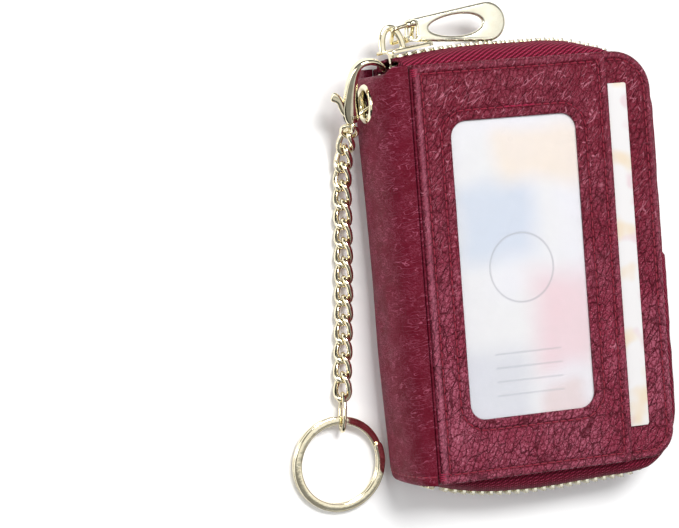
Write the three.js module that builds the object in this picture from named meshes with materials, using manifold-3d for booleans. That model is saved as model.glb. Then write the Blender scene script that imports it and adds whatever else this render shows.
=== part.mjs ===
// Card wallet: a zip-round leather wallet with accordion pockets, an ID window and a key chain.
// Millimetres, +Z up. It lies shut on its back cover, with the spine at -X, the fore edge at +X
// and the slider end of the zip at +Y. The origin is the middle of the back cover's outer face.

import * as THREE from 'three';
import { mergeVertices } from 'three/addons/utils/BufferGeometryUtils.js';
import Module from 'manifold-3d';

const wasm = await Module();
wasm.setup();

// Covers and their layers
const coverLength = 100;
const coverWidth = 64.5;
const coverCorner = 11;
const walletThickness = 25;
const spineBulge = 6.5;
const spineSink = 0.4;
const leather = 1.2;
const panelLeather = 0.9;
const boardThickness = 0.75;
const liningThickness = 0.35;
const layGap = 0.1;
const fitGap = 0.3;
const cutOverrun = 1;

// Front pocket panel, ID window and card
const slotFromFore = 12.5;
const panelHem = 2.2;
const windowFromCrease = 9.75;
const windowFromSlot = 9.75;
const windowFromEnd = 14.4;
const windowRise = 1.6;
const windowCorner = 4;
const filmThickness = 0.15;
const filmLap = 2.5;
const cardFromEnd = 7.2;
const cardFromCrease = 4;
const cardThickness = 0.75;
const cardCorner = 3.2;
const cardShow = 6;
const cardRise = 1.4;

// Main zip: the crown of each run stands off the cover edge, and the runs meet in soft corners
const topCrown = 5.9;
const topRunRadius = 150;
const topApexFromCrease = 25;
const bottomCrown = 5;
const bottomRunRadius = 250;
const foreBulge = 5;
const zipEndFromCrease = 0.4;
const tapeThickness = 0.6;
const tapeFullnessPower = 2.8;
const toothPitch = 2.4;
const toothWidth = 0.95;
const toothReach = 0.55;
const toothLeg = 3;
const toothLegThickness = 1.7;
const toothHeadThickness = 1.2;
const beadThickness = 0.9;
const beadLow = 2;
const beadHigh = 2.7;
const stopLength = 1.8;
const stopGrip = 0.5;

// Zip slider, its link and the pull tab
const sliderFromCrease = 5;
const sliderLength = 13;
const sliderMouthWidth = 9.2;
const sliderRearWidth = 8.2;
const sliderPlate = 1.1;
const sliderCorner = 1.6;
const sliderPostLength = 1.2;
const sliderPostWidth = 1.1;
const sliderPostFromMouth = 1.9;
const archHalfSpan = 3.2;
const archHeight = 6.2;
const archStrip = 0.9;
const archWidth = 1.4;
const archShift = -3.2;
const archSink = 0.3;
const linkLength = 5.6;
const linkHalfWidth = 2.6;
const linkWire = 0.9;
const linkBarRise = 3.2;
const linkBarShift = 0.4;
const linkLean = THREE.MathUtils.degToRad(48);
const linkTurn = THREE.MathUtils.degToRad(5);
const tabLength = 27;
const tabWide = 9.9;
const tabNarrow = 5.5;
const tabThickness = 1.4;
const tabHoleInset = 2;
const tabSlotLength = 1.9;
const tabSlotHeight = 3.9;
const ovalLength = 14.6;
const ovalWidth = 5.2;
const ovalEndMargin = 6.1;
const tabTurn = THREE.MathUtils.degToRad(-10);

// Eyelet in the spine
const eyeletFromTop = 6.4;
const eyeletHeight = 12.3;
const eyeletBore = 6.6;
const eyeletBarrel = 0.4;
const eyeletFlange = 9.8;
const eyeletFlangeThickness = 0.5;

// Lobster clasp, drawn round the middle of the eyelet
const claspLength = 16;
const claspDroop = THREE.MathUtils.degToRad(20);
const claspDepth = 2.6;
const claspPinRadius = 0.45;
const claspPinGap = 0.15;
const claspPinInset = 0.25;
const claspSlotWidth = 1.2;
const gateDepth = 0.9;
const claspEyeRadius = 1.35;
const claspEyeWire = 0.9;

// Chain and key ring
const jumpRadius = 1.95;
const jumpWire = 1.1;
const curbLength = 7.45;
const curbWidth = 5;
const curbWire = 1.2;
const curbTwist = THREE.MathUtils.degToRad(48);
const curbCount = 14;
const endLinkLength = 10.3;
const endLinkWidth = 5.4;
const endLinkWire = 1.1;
const endLinkLean = THREE.MathUtils.degToRad(62);
const endLinkRise = THREE.MathUtils.degToRad(12);
const jumpLean = THREE.MathUtils.degToRad(21);
const ringOuter = 24;
const ringBand = 2;
const ringLeaf = 1;
const ringLeafGap = 0.12;
const ringSplitTurn = THREE.MathUtils.degToRad(155);
const chainHeadingFirst = THREE.MathUtils.degToRad(-91.5);
const chainHeadingLast = THREE.MathUtils.degToRad(-97);
const drapeTurns = [-50, -40, -28, -15].map(THREE.MathUtils.degToRad);

// Accordion
const leafCount = 12;
const leafMouthGap = 1.6;
const leafThickness = 0.3;
const leafFromEnd = 6.4;
const leafPivotInset = 1.2;
const leafStart = 1;
const gussetStart = 10;
const gussetDepth = 4.6;
const gussetWall = 0.25;
const hemWidth = 1.6;
const hemThickness = 0.5;

// Coin pocket zip in the back lining
const coinZipFromFore = 7;
const coinTapeWidth = 9;
const coinTapeFromEnd = 8;
const coinTapeThickness = 0.4;
const coinCoilWidth = 4.4;
const coinCoilHeight = 1.3;
const coinSliderLength = 8;
const coinSliderWidth = 6.6;
const coinSliderRoof = 0.8;
const coinSliderInset = 6;
const coinArchHeight = 2.2;
const coinArchHalfSpan = 2.4;
const coinArchStrip = 0.7;
const coinArchWidth = 1.4;
const coinPullLength = 13;
const coinPullWidth = 5;
const coinPullThickness = 1;
const coinPullHole = 3;
const coinLoopWire = 1;

// Heights of the layers, from the front panel down and from the back cover up
const panelBottom = walletThickness - panelLeather;
const filmTop = panelBottom - layGap;
const cardTop = filmTop - filmThickness - layGap;
const frontTop = cardTop - cardThickness - layGap;
const frontBoardTop = frontTop - leather - layGap;
const frontLiningTop = frontBoardTop - boardThickness - layGap;
const frontInside = frontLiningTop - liningThickness;
const backBoardBottom = leather + layGap;
const backLiningBottom = backBoardBottom + boardThickness + layGap;
const backInside = backLiningBottom + liningThickness;
const zipHeight = (frontInside + backInside) / 2;

// Places in plan
const creaseX = -coverWidth / 2;
const foreX = coverWidth / 2;
const topY = coverLength / 2;
const slotX = foreX - slotFromFore;
const coinZipX = foreX - coinZipFromFore;
const sewInset = leather / 2;
const eyeletY = topY - eyeletFromTop;
const spineOuterX = creaseX - spineBulge;

// Steps from joint to joint along the chain
const curbPitch = curbLength - 2 * curbWire - fitGap;
const endLinkPitch = endLinkLength - 1.5 * curbWire - endLinkWire - ringBand / 2 - 1.5 * fitGap;

// Sizes that follow the cover: the card, the window, the leaves and the coin zip
const cardLength = coverLength - 2 * cardFromEnd;
const cardWidth = slotX + cardShow - creaseX - cardFromCrease;
const windowWidth = slotX - windowFromSlot - creaseX - windowFromCrease;
const windowLength = coverLength - 2 * windowFromEnd;
const leafDepth = coinZipX - coinTapeWidth / 2 - leafMouthGap - creaseX - leafPivotInset;
const coinTapeLength = coverLength - 2 * coinTapeFromEnd;

// Materials
const wine = 0x7c1730;
const champagne = 0xe3d3a8;
const ink = 0x1b1a1d;

/** A matt or glossy material of one colour. */
function finish(color, roughness, metalness = 0) {
  return new THREE.MeshStandardMaterial({ color, roughness, metalness });
}

const leatherFinish = finish(wine, 0.5);
const tapeFinish = finish(wine, 0.85);
const metalFinish = finish(champagne, 0.22, 1);
const liningFinish = finish(ink, 0.7);
const boardFinish = finish(0x9a8f7c, 0.95);
const filmFinish = finish(0xe8eef2, 0.1);
const cardFinish = finish(0xf3efe9, 0.6);
const nylonFinish = finish(0x2a282b, 0.45);

/** A closed geometry as a solid that can be joined and cut. */
function toSolid(geometry) {
  const bare = geometry.clone();
  bare.deleteAttribute('normal');
  bare.deleteAttribute('uv');
  const merged = mergeVertices(bare);
  const vertProperties = new Float32Array(merged.attributes.position.array);
  const triVerts = new Uint32Array(merged.index.array);
  return new wasm.Manifold(new wasm.Mesh({ numProp: 3, vertProperties, triVerts }));
}

/** A joined or cut solid as a geometry again. */
function fromSolid(solid) {
  const made = solid.getMesh();
  const geometry = new THREE.BufferGeometry();
  geometry.setAttribute('position', new THREE.BufferAttribute(made.vertProperties, 3));
  geometry.setIndex(new THREE.BufferAttribute(made.triVerts, 1));
  geometry.computeVertexNormals();
  return geometry;
}

/** One geometry from several that overlap. */
function joined(...geometries) {
  return fromSolid(geometries.map(toSolid).reduce((whole, piece) => whole.add(piece)));
}

/** A geometry with others cut out of it. */
function cut(body, ...tools) {
  return fromSolid(tools.map(toSolid).reduce((rest, tool) => rest.subtract(tool), toSolid(body)));
}

/** A flat outline made thick from height low to height high. */
function slab(shape, low, high, curveSegments = 6) {
  const geometry = new THREE.ExtrudeGeometry(shape, {
    depth: high - low,
    bevelEnabled: false,
    curveSegments,
  });
  return geometry.translate(0, 0, low);
}

/** An outline in X and Z made thick along Y, from y low to y high. */
function slabAlongY(shape, low, high, curveSegments = 6) {
  const geometry = slab(shape, -high, -low, curveSegments);
  return geometry.rotateX(Math.PI / 2);
}

/** A box between two corners. */
function block(x0, y0, z0, x1, y1, z1) {
  const geometry = new THREE.BoxGeometry(x1 - x0, y1 - y0, z1 - z0);
  return geometry.translate((x0 + x1) / 2, (y0 + y1) / 2, (z0 + z1) / 2);
}

/** A rectangle with its own corner radius at each end along X. */
function plate(x0, x1, y0, y1, leftRadius, rightRadius) {
  const shape = new THREE.Shape();
  const quarter = Math.PI / 2;
  shape.moveTo(x0 + leftRadius, y0);
  shape.lineTo(x1 - rightRadius, y0);
  if (rightRadius) shape.absarc(x1 - rightRadius, y0 + rightRadius, rightRadius, -quarter, 0);
  shape.lineTo(x1, y1 - rightRadius);
  if (rightRadius) shape.absarc(x1 - rightRadius, y1 - rightRadius, rightRadius, 0, quarter);
  shape.lineTo(x0 + leftRadius, y1);
  if (leftRadius) shape.absarc(x0 + leftRadius, y1 - leftRadius, leftRadius, quarter, 2 * quarter);
  shape.lineTo(x0, y0 + leftRadius);
  if (leftRadius) shape.absarc(x0 + leftRadius, y0 + leftRadius, leftRadius, 2 * quarter, 3 * quarter);
  return shape;
}

/** The cover outline drawn in by inset on the three zipped sides. */
function coverPlan(inset, creaseInset = 0) {
  const x0 = creaseX + creaseInset;
  return plate(x0, foreX - inset, inset - topY, topY - inset, 0, coverCorner - inset);
}

/** Six times the volume that a triangle mesh holds, with its sign. */
function signedVolume(points, index) {
  let sum = 0;
  for (let i = 0; i < index.length; i += 3) {
    const [a, b, c] = [points[index[i]], points[index[i + 1]], points[index[i + 2]]];
    sum += a.dot(new THREE.Vector3().crossVectors(b, c));
  }
  return sum;
}

/** A closed skin over rings of points. Open lofts get caps that pair each ring's two halves. */
function loft(rings) {
  const points = rings.flat();
  const n = rings[0].length;
  const index = [];
  for (let r = 0; r + 1 < rings.length; r += 1) {
    for (let i = 0; i < n; i += 1) {
      const a = r * n + i;
      const b = r * n + ((i + 1) % n);
      index.push(a, b, b + n, a, b + n, a + n);
    }
  }
  const last = (rings.length - 1) * n;
  for (let i = 0; i + 1 < n / 2; i += 1) {
    const [p, q, r, s] = [i, i + 1, n - 2 - i, n - 1 - i];
    index.push(p, r, q, p, s, r);
    index.push(last + p, last + q, last + r, last + p, last + r, last + s);
  }
  if (signedVolume(points, index) < 0) index.reverse();
  const geometry = new THREE.BufferGeometry().setFromPoints(points);
  geometry.setIndex(index);
  geometry.computeVertexNormals();
  return geometry;
}

const model = new THREE.Group();

/** Adds a named piece to a group, with its own copy of its finish. */
function piece(name, geometry, material, parent = model) {
  const mesh = new THREE.Mesh(geometry, material.clone());
  mesh.name = name;
  parent.add(mesh);
  return mesh;
}

// Covers: leather turned over the edges of a board, with the lining laid inside
function addCovers() {
  const frontShell = slab(coverPlan(0), frontInside, frontTop);
  const frontHollow = slab(coverPlan(leather, -cutOverrun), frontInside - cutOverrun, frontTop - leather);
  piece('front_cover', cut(frontShell, frontHollow), leatherFinish);
  const backShell = slab(coverPlan(0), 0, backInside);
  const backHollow = slab(coverPlan(leather, -cutOverrun), leather, backInside + cutOverrun);
  piece('back_cover', cut(backShell, backHollow), leatherFinish);
  const inner = coverPlan(leather + fitGap, fitGap);
  piece('front_board', slab(inner, frontBoardTop - boardThickness, frontBoardTop), boardFinish);
  piece('back_board', slab(inner, backBoardBottom, backBoardBottom + boardThickness), boardFinish);
  piece('front_lining', slab(inner, frontInside, frontLiningTop), liningFinish);
  piece('back_lining', slab(inner, backLiningBottom, backInside), liningFinish);
}

/** The spine's section in X and Z: a full, flattened bulge of one leather thickness. */
function spineSection() {
  const half = (walletThickness - spineSink) / 2;
  const steps = 14;
  const fullness = 2 / 2.6;
  const arc = (bulge, height) =>
    Array.from({ length: steps + 1 }, (_, i) => {
      const turn = (i / steps - 0.5) * Math.PI;
      const up = Math.sign(Math.sin(turn)) * Math.abs(Math.sin(turn)) ** fullness;
      const out = Math.cos(turn) ** fullness;
      return new THREE.Vector2(creaseX - fitGap - (bulge - fitGap) * out, half + height * up);
    });
  const outer = arc(spineBulge, half);
  const inner = arc(spineBulge - leather, half - leather);
  return new THREE.Shape([...outer, ...inner.reverse()]);
}

// Spine leather, with the hole for the eyelet
function addSpine() {
  const wrap = slabAlongY(spineSection(), -topY, topY);
  const holeRadius = eyeletBore / 2 + eyeletBarrel + fitGap;
  const hole = new THREE.CylinderGeometry(holeRadius, holeRadius, 2 * spineBulge, 20);
  hole.rotateZ(Math.PI / 2);
  hole.translate(spineOuterX, eyeletY, eyeletHeight);
  piece('spine_cover', cut(wrap, hole), leatherFinish);
}

// Eyelet: a flanged barrel rolled over on both faces of the leather
function addEyelet() {
  const bore = eyeletBore / 2;
  const barrel = bore + eyeletBarrel;
  const rim = eyeletFlange / 2;
  const half = leather / 2 + fitGap;
  const lip = eyeletFlangeThickness;
  const profile = [
    [bore, -half - lip / 2],
    [barrel, -half - lip],
    [rim - lip / 2, -half - lip],
    [rim, -half - lip / 2],
    [rim - lip / 4, -half],
    [barrel, -half],
    [barrel, half],
    [rim - lip / 4, half],
    [rim, half + lip / 2],
    [rim - lip / 2, half + lip],
    [barrel, half + lip],
    [bore, half + lip / 2],
    [bore, -half - lip / 2],
  ].map(([r, y]) => new THREE.Vector2(r, y));
  const ring = new THREE.LatheGeometry(profile, 24);
  ring.rotateZ(Math.PI / 2);
  const mesh = piece('grommet', outward(ring), metalFinish);
  mesh.position.set(spineOuterX + leather / 2, eyeletY, eyeletHeight);
}

/** The same closed skin with its faces turned outwards. */
function outward(geometry) {
  const bare = geometry.clone();
  bare.deleteAttribute('normal');
  bare.deleteAttribute('uv');
  const merged = mergeVertices(bare);
  const at = merged.attributes.position;
  const points = Array.from({ length: at.count }, (_, i) => new THREE.Vector3().fromBufferAttribute(at, i));
  const index = Array.from(merged.index.array);
  if (signedVolume(points, index) < 0) index.reverse();
  merged.setIndex(index);
  merged.computeVertexNormals();
  return merged;
}

// Front panel: sewn down on three sides, open at the slot, with the window cut through it
function addFrontPocket() {
  const whole = slab(plate(creaseX, slotX, -topY, topY, 0, 0), frontTop + layGap, walletThickness);
  const pocket = block(
    creaseX + panelHem,
    panelHem - topY,
    frontTop - cutOverrun,
    slotX + cutOverrun,
    topY - panelHem,
    panelBottom,
  );
  const x0 = creaseX + windowFromCrease;
  const y0 = windowRise - windowLength / 2;
  const y1 = windowRise + windowLength / 2;
  const opening = slab(
    plate(x0, x0 + windowWidth, y0, y1, windowCorner, windowCorner),
    panelBottom - cutOverrun,
    walletThickness + cutOverrun,
  );
  piece('window_panel', cut(whole, pocket, opening), leatherFinish);
  const film = plate(
    x0 - filmLap,
    x0 + windowWidth + filmLap,
    y0 - filmLap,
    y1 + filmLap,
    windowCorner,
    windowCorner,
  );
  piece('id_window', slab(film, filmTop - filmThickness, filmTop), filmFinish);
  const card = plate(0, cardWidth, -cardLength / 2, cardLength / 2, cardCorner, cardCorner);
  const mesh = piece('display_card', slab(card, 0, cardThickness), cardFinish);
  mesh.position.set(creaseX + cardFromCrease, cardRise, cardTop - cardThickness);
}

/** One long side of the zip's plan, from the spine end round half the corner to the fore edge. */
function zipSide(side) {
  const crown = side > 0 ? topCrown : bottomCrown;
  const radius = side > 0 ? topRunRadius : bottomRunRadius;
  const apexX = creaseX + topApexFromCrease;
  const centre = new THREE.Vector2(apexX, topY + crown - radius);
  const endTurn = Math.asin((creaseX + zipEndFromCrease - apexX) / radius);
  const cornerTurn = Math.asin((foreX - coverCorner - apexX) / radius);
  const cornerX = apexX + radius * Math.sin(cornerTurn);
  const cornerRadius = (foreX + foreBulge - cornerX) / (1 - Math.sin(cornerTurn));
  const bendCentre = new THREE.Vector2(
    foreX + foreBulge - cornerRadius,
    centre.y + (radius - cornerRadius) * Math.cos(cornerTurn),
  );
  const onArc = (middle, size, turn) => ({
    zip: new THREE.Vector2(middle.x + size * Math.sin(turn), side * (middle.y + size * Math.cos(turn))),
    out: new THREE.Vector2(Math.sin(turn), side * Math.cos(turn)),
  });
  const railX = creaseX + zipEndFromCrease;
  const railY = topY - sewInset;
  const railCorner = coverCorner - sewInset;
  const run = {
    length: radius * (cornerTurn - endTurn),
    at: (t) => ({
      ...onArc(centre, radius, THREE.MathUtils.lerp(endTurn, cornerTurn, t)),
      rail: new THREE.Vector2(THREE.MathUtils.lerp(railX, foreX - coverCorner, t), side * railY),
    }),
  };
  const bend = {
    length: cornerRadius * (Math.PI / 2 - cornerTurn),
    at: (t) => ({
      ...onArc(bendCentre, cornerRadius, THREE.MathUtils.lerp(cornerTurn, Math.PI / 2, t)),
      rail: new THREE.Vector2(
        foreX - coverCorner + railCorner * Math.sin((t * Math.PI) / 2),
        side * (topY - coverCorner + railCorner * Math.cos((t * Math.PI) / 2)),
      ),
    }),
  };
  return { run, bend, bendCentre, centre, radius };
}

const zipTop = zipSide(1);
const zipBottom = zipSide(-1);

/** The zip's whole plan as stretches in order, from the top spine end to the bottom one. */
function zipStretches() {
  const y0 = zipTop.bendCentre.y;
  const y1 = -zipBottom.bendCentre.y;
  const railEnd = topY - coverCorner;
  const fore = {
    length: y0 - y1,
    at: (t) => ({
      zip: new THREE.Vector2(foreX + foreBulge, THREE.MathUtils.lerp(y0, y1, t)),
      out: new THREE.Vector2(1, 0),
      rail: new THREE.Vector2(foreX - sewInset, THREE.MathUtils.lerp(railEnd, -railEnd, t)),
    }),
  };
  const back = (part) => ({ length: part.length, at: (t) => part.at(1 - t) });
  return [zipTop.run, zipTop.bend, fore, back(zipBottom.bend), back(zipBottom.run)];
}

const stretches = zipStretches();
const zipLength = stretches.reduce((sum, part) => sum + part.length, 0);

/** The zip's plan at a distance from its top spine end. */
function zipAt(distance) {
  let left = THREE.MathUtils.clamp(distance, 0, zipLength);
  for (const part of stretches) {
    if (left <= part.length) return part.at(left / part.length);
    left -= part.length;
  }
  const last = stretches[stretches.length - 1];
  return last.at(1);
}

/** One tape half. side is 1 for the front cover's half and -1 for the back cover's. */
function tapeHalf(side) {
  const sewn = side > 0 ? frontInside - layGap : backInside + layGap;
  const rise = Math.abs(sewn - zipHeight);
  const power = 2 / tapeFullnessPower;
  const edge = toothLeg + fitGap;
  const endTurn = Math.acos((edge / rise) ** (1 / power));
  const steps = 5;
  const ringAt = ({ zip, out, rail }) => {
    const reach = zip.clone().addScaledVector(out, tapeThickness / 2).sub(rail);
    const skin = [];
    for (let i = 0; i <= steps; i += 1) {
      const turn = (endTurn * i) / steps;
      skin.push([Math.sin(turn) ** power, Math.cos(turn) ** power * rise]);
    }
    const width = reach.length();
    const place = (across, up) => {
      const flat = rail.clone().addScaledVector(reach, across / width);
      return new THREE.Vector3(flat.x, flat.y, zipHeight + side * up);
    };
    const outer = skin.map(([across, up]) => place(across * width, up));
    const inner = skin.map(([across, up], i) => {
      const before = skin[Math.max(i - 1, 0)];
      const after = skin[Math.min(i + 1, steps)];
      const along = new THREE.Vector2((after[0] - before[0]) * width, after[1] - before[1]).normalize();
      return place(across * width + along.y * tapeThickness, up - along.x * tapeThickness);
    });
    return [...outer, ...inner.reverse()];
  };
  const counts = [9, 6, 3, 6, 9];
  const rings = [];
  stretches.forEach((part, i) => {
    for (let k = i ? 1 : 0; k <= counts[i]; k += 1) rings.push(ringAt(part.at(k / counts[i])));
  });
  return loft(rings);
}

/** Where the slider's middle stands along the zip's plan. */
const sliderDistance = zipTop.radius * (
  Math.asin((sliderFromCrease - topApexFromCrease) / zipTop.radius) -
  Math.asin((zipEndFromCrease - topApexFromCrease) / zipTop.radius)
);
const firstTooth = sliderDistance - sliderLength / 2 + sliderPostFromMouth + sliderPostLength + fitGap;

/** One row of teeth clamped on the tape's bead. The two rows stand half a pitch apart. */
function teethRow(side) {
  const offset = side > 0 ? 0 : toothPitch / 2;
  const end = zipLength - 2 * stopLength;
  const corner = ({ zip, out }, across, up) => {
    const flat = zip.clone().addScaledVector(out, across);
    return new THREE.Vector3(flat.x, flat.y, zipHeight + side * up);
  };
  const tooth = (at) => [
    corner(at, toothLegThickness / 2, toothLeg),
    corner(at, toothHeadThickness / 2, -toothReach),
    corner(at, -toothHeadThickness / 2, -toothReach),
    corner(at, -toothLegThickness / 2, toothLeg),
  ];
  const bead = (at) => [
    corner(at, beadThickness / 2, beadHigh),
    corner(at, beadThickness / 2, beadLow),
    corner(at, -beadThickness / 2, beadLow),
    corner(at, -beadThickness / 2, beadHigh),
  ];
  const rings = [];
  for (let s = firstTooth + toothWidth / 2 + offset; s + toothWidth < end; s += toothPitch) {
    const near = zipAt(s - toothWidth / 2);
    const far = zipAt(s + toothWidth / 2);
    if (rings.length) rings.push(bead(near));
    rings.push(tooth(near), tooth(far), bead(far));
  }
  rings.pop();
  return loft(rings);
}

/** A metal stop pinched over the edge of one tape at a distance along the zip. */
function stopAt(side, distance) {
  const rings = [distance - stopLength / 2, distance + stopLength / 2].map((s) => {
    const { zip, out } = zipAt(s);
    const half = toothLegThickness / 2;
    return [[half, toothLeg], [half, stopGrip], [-half, stopGrip], [-half, toothLeg]].map(([across, up]) => {
      const flat = zip.clone().addScaledVector(out, across);
      return new THREE.Vector3(flat.x, flat.y, zipHeight + side * up);
    });
  });
  return loft(rings);
}

// Main zip: tapes, teeth and stops
function addMainZip() {
  piece('front_zip_tape', tapeHalf(1), tapeFinish);
  piece('back_zip_tape', tapeHalf(-1), tapeFinish);
  piece('front_zip_teeth', teethRow(1), metalFinish);
  piece('back_zip_teeth', teethRow(-1), metalFinish);
  piece('zip_stop_front', stopAt(1, zipLength - stopLength), metalFinish);
  piece('zip_stop_back', stopAt(-1, zipLength - stopLength), metalFinish);
}

/** Half an ellipse standing on a line, as points from its right foot to its left one. */
function archPoints(halfSpan, height, steps = 12) {
  return Array.from({ length: steps + 1 }, (_, i) => {
    const turn = (Math.PI * i) / steps;
    return new THREE.Vector2(halfSpan * Math.cos(turn), height * Math.sin(turn));
  });
}

/** A strip bent into an arch in X and Y, width wide along Z, standing on y = 0. */
function archStripGeometry(halfSpan, height, strip, width) {
  const outer = archPoints(halfSpan, height);
  const inner = archPoints(halfSpan - strip, height - strip).reverse();
  return slab(new THREE.Shape([...outer, ...inner]), -width / 2, width / 2);
}

/** The slider: two plates joined by a post, with a channel for the teeth and a slot for each tape. */
function sliderGeometry() {
  const halfLength = sliderLength / 2;
  const roof = toothLegThickness / 2 + fitGap + sliderPlate;
  const outline = new THREE.Shape();
  outline.moveTo(-halfLength + sliderCorner, -sliderMouthWidth / 2);
  outline.lineTo(halfLength - sliderCorner, -sliderRearWidth / 2);
  outline.quadraticCurveTo(halfLength, -sliderRearWidth / 2, halfLength, sliderCorner - sliderRearWidth / 2);
  outline.lineTo(halfLength, sliderRearWidth / 2 - sliderCorner);
  outline.quadraticCurveTo(halfLength, sliderRearWidth / 2, halfLength - sliderCorner, sliderRearWidth / 2);
  outline.lineTo(-halfLength + sliderCorner, sliderMouthWidth / 2);
  outline.quadraticCurveTo(-halfLength, sliderMouthWidth / 2, -halfLength, sliderMouthWidth / 2 - sliderCorner);
  outline.lineTo(-halfLength, sliderCorner - sliderMouthWidth / 2);
  outline.quadraticCurveTo(
    -halfLength,
    -sliderMouthWidth / 2,
    -halfLength + sliderCorner,
    -sliderMouthWidth / 2,
  );
  const shell = slabAlongY(outline, -roof, roof, 4);
  const across = sliderMouthWidth;
  const far = halfLength + cutOverrun;
  const channelHigh = toothLegThickness / 2 + fitGap;
  const channelWide = toothLeg + fitGap;
  const slotHigh = tapeThickness / 2 + fitGap + layGap;
  const channel = block(-far, -channelHigh, -channelWide, far, channelHigh, channelWide);
  const slot = block(-far, -slotHigh, -across, far, slotHigh, across);
  const postX = sliderPostFromMouth - halfLength;
  const post = block(
    postX,
    -channelHigh - sliderPlate / 2,
    -sliderPostWidth / 2,
    postX + sliderPostLength,
    channelHigh + sliderPlate / 2,
    sliderPostWidth / 2,
  );
  const arch = archStripGeometry(archHalfSpan, archHeight, archStrip, archWidth);
  arch.translate(archShift, roof - archSink, 0);
  return joined(cut(shell, channel, slot), post, arch);
}

/** A rectangular frame of wire, from its first bar at the origin along +X, its bars along Y. */
function linkFrame() {
  const reach = linkHalfWidth + linkWire / 2;
  const outer = plate(-linkWire / 2, linkLength + linkWire / 2, -reach, reach, linkWire, linkWire);
  const hole = reach - linkWire;
  const inner = plate(linkWire / 2, linkLength - linkWire / 2, -hole, hole, linkWire / 2, linkWire / 2);
  outer.holes.push(inner);
  return slab(outer, -linkWire / 2, linkWire / 2, 3);
}

/** The teardrop tab: a slotted narrow end, two tangent sides and a round end, with an oval hole. */
function tabGeometry() {
  const narrow = tabNarrow / 2;
  const wide = tabWide / 2;
  const x0 = -tabHoleInset;
  const x1 = x0 + tabLength - wide;
  const tilt = Math.asin((wide - narrow) / (x1 - x0));
  const shape = new THREE.Shape();
  shape.moveTo(x0 + narrow / 2, -narrow);
  shape.lineTo(x1 + wide * Math.sin(tilt) - wide * Math.sin(2 * tilt), -wide * Math.cos(tilt));
  shape.absarc(x1, 0, wide, -Math.PI / 2, Math.PI / 2);
  shape.lineTo(x0 + narrow / 2, narrow);
  shape.quadraticCurveTo(x0, narrow, x0, narrow / 2);
  shape.lineTo(x0, -narrow / 2);
  shape.quadraticCurveTo(x0, -narrow, x0 + narrow / 2, -narrow);
  const slot = plate(
    -tabSlotLength / 2,
    tabSlotLength / 2,
    -tabSlotHeight / 2,
    tabSlotHeight / 2,
    tabSlotLength / 4,
    tabSlotLength / 4,
  );
  const oval = new THREE.Path();
  const ovalX = x0 + tabLength - ovalEndMargin - ovalLength / 2;
  oval.absellipse(ovalX, 0, ovalLength / 2, ovalWidth / 2, 0, 2 * Math.PI);
  shape.holes.push(slot, oval);
  return slab(shape, -tabThickness / 2, tabThickness / 2, 8);
}

// Slider, link and pull tab, seated on the top run and turned with it
function addSlider() {
  const turn = Math.asin((sliderFromCrease - topApexFromCrease) / zipTop.radius);
  const seat = new THREE.Group();
  seat.position.set(zipTop.centre.x, zipTop.centre.y, zipHeight);
  seat.rotation.z = -turn;
  model.add(seat);
  const body = piece('slider_body', sliderGeometry(), metalFinish, seat);
  body.position.y = zipTop.radius;
  const linkSeat = new THREE.Group();
  const roof = toothLegThickness / 2 + fitGap + sliderPlate;
  linkSeat.position.set(archShift + linkBarShift, zipTop.radius + roof + linkBarRise, 0);
  linkSeat.rotation.z = linkTurn;
  seat.add(linkSeat);
  const link = piece('pull_link', linkFrame(), metalFinish, linkSeat);
  link.rotation.x = linkLean - Math.PI;
  const tab = piece('pull_tab', tabGeometry(), metalFinish, linkSeat);
  tab.position.x = linkLength;
  tab.rotation.z = tabTurn;
}

// Clasp outlines as shares of its length, from the middle of the eyelet: x outwards is negative
const claspBackShares = [
  [-0.253, -0.275, 0.052],
  [-0.281, -0.17, 0.092],
  [-0.291, -0.02, 0.128],
  [-0.289, 0.13, 0.125],
  [-0.283, 0.28, 0.1],
  [-0.268, 0.44, 0.076],
  [-0.226, 0.575, 0.062],
  [-0.13, 0.66, 0.054],
  [0, 0.68, 0.051],
  [0.115, 0.65, 0.046],
  [0.195, 0.59, 0.04],
  [0.23, 0.51, 0.034],
];
const claspGateShares = [
  [-0.6, 0.165, 0.05],
  [-0.57, 0.155, 0.062],
  [-0.53, 0.135, 0.055],
  [-0.47, 0.05, 0.026],
  [-0.4, -0.09, 0.026],
  [-0.33, -0.165, 0.03],
  [-0.244, -0.181, 0.05],
  [-0.13, -0.15, 0.03],
  [0.02, -0.06, 0.026],
  [0.14, 0.05, 0.026],
  [0.2, 0.17, 0.026],
  [0.208, 0.3, 0.026],
  [0.185, 0.4, 0.026],
  [0.165, 0.46, 0.026],
];
const claspPivotShare = [-0.244, -0.181];
const claspEyeShare = [-0.253, -0.335];

/** A bar along a flat curve of [x, y, half width] shares, with an oval section of the given depth. */
function barAlong(shares, depth, steps, sides) {
  const path = new THREE.CatmullRomCurve3(
    shares.map(([x, y, w]) => new THREE.Vector3(x, y, w).multiplyScalar(claspLength)),
  );
  const rings = [];
  for (let i = 0; i <= steps; i += 1) {
    const at = path.getPoint(i / steps);
    const along = path.getTangent(i / steps).setZ(0).normalize();
    const ring = [];
    for (let k = 0; k < sides; k += 1) {
      const turn = (2 * Math.PI * (k + 0.5)) / sides;
      const across = at.z * Math.cos(turn);
      const rise = (depth / 2) * Math.sin(turn);
      ring.push(new THREE.Vector3(at.x - along.y * across, at.y + along.x * across, rise));
    }
    rings.push(ring);
  }
  return loft(rings);
}

/** A small ring of wire in the plane across X, round a place in the clasp's plane. */
function eyeRing(x, y) {
  const ring = new THREE.TorusGeometry(claspEyeRadius, claspEyeWire / 2, 6, 16);
  ring.rotateY(Math.PI / 2);
  return ring.translate(x, y, 0);
}

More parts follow.
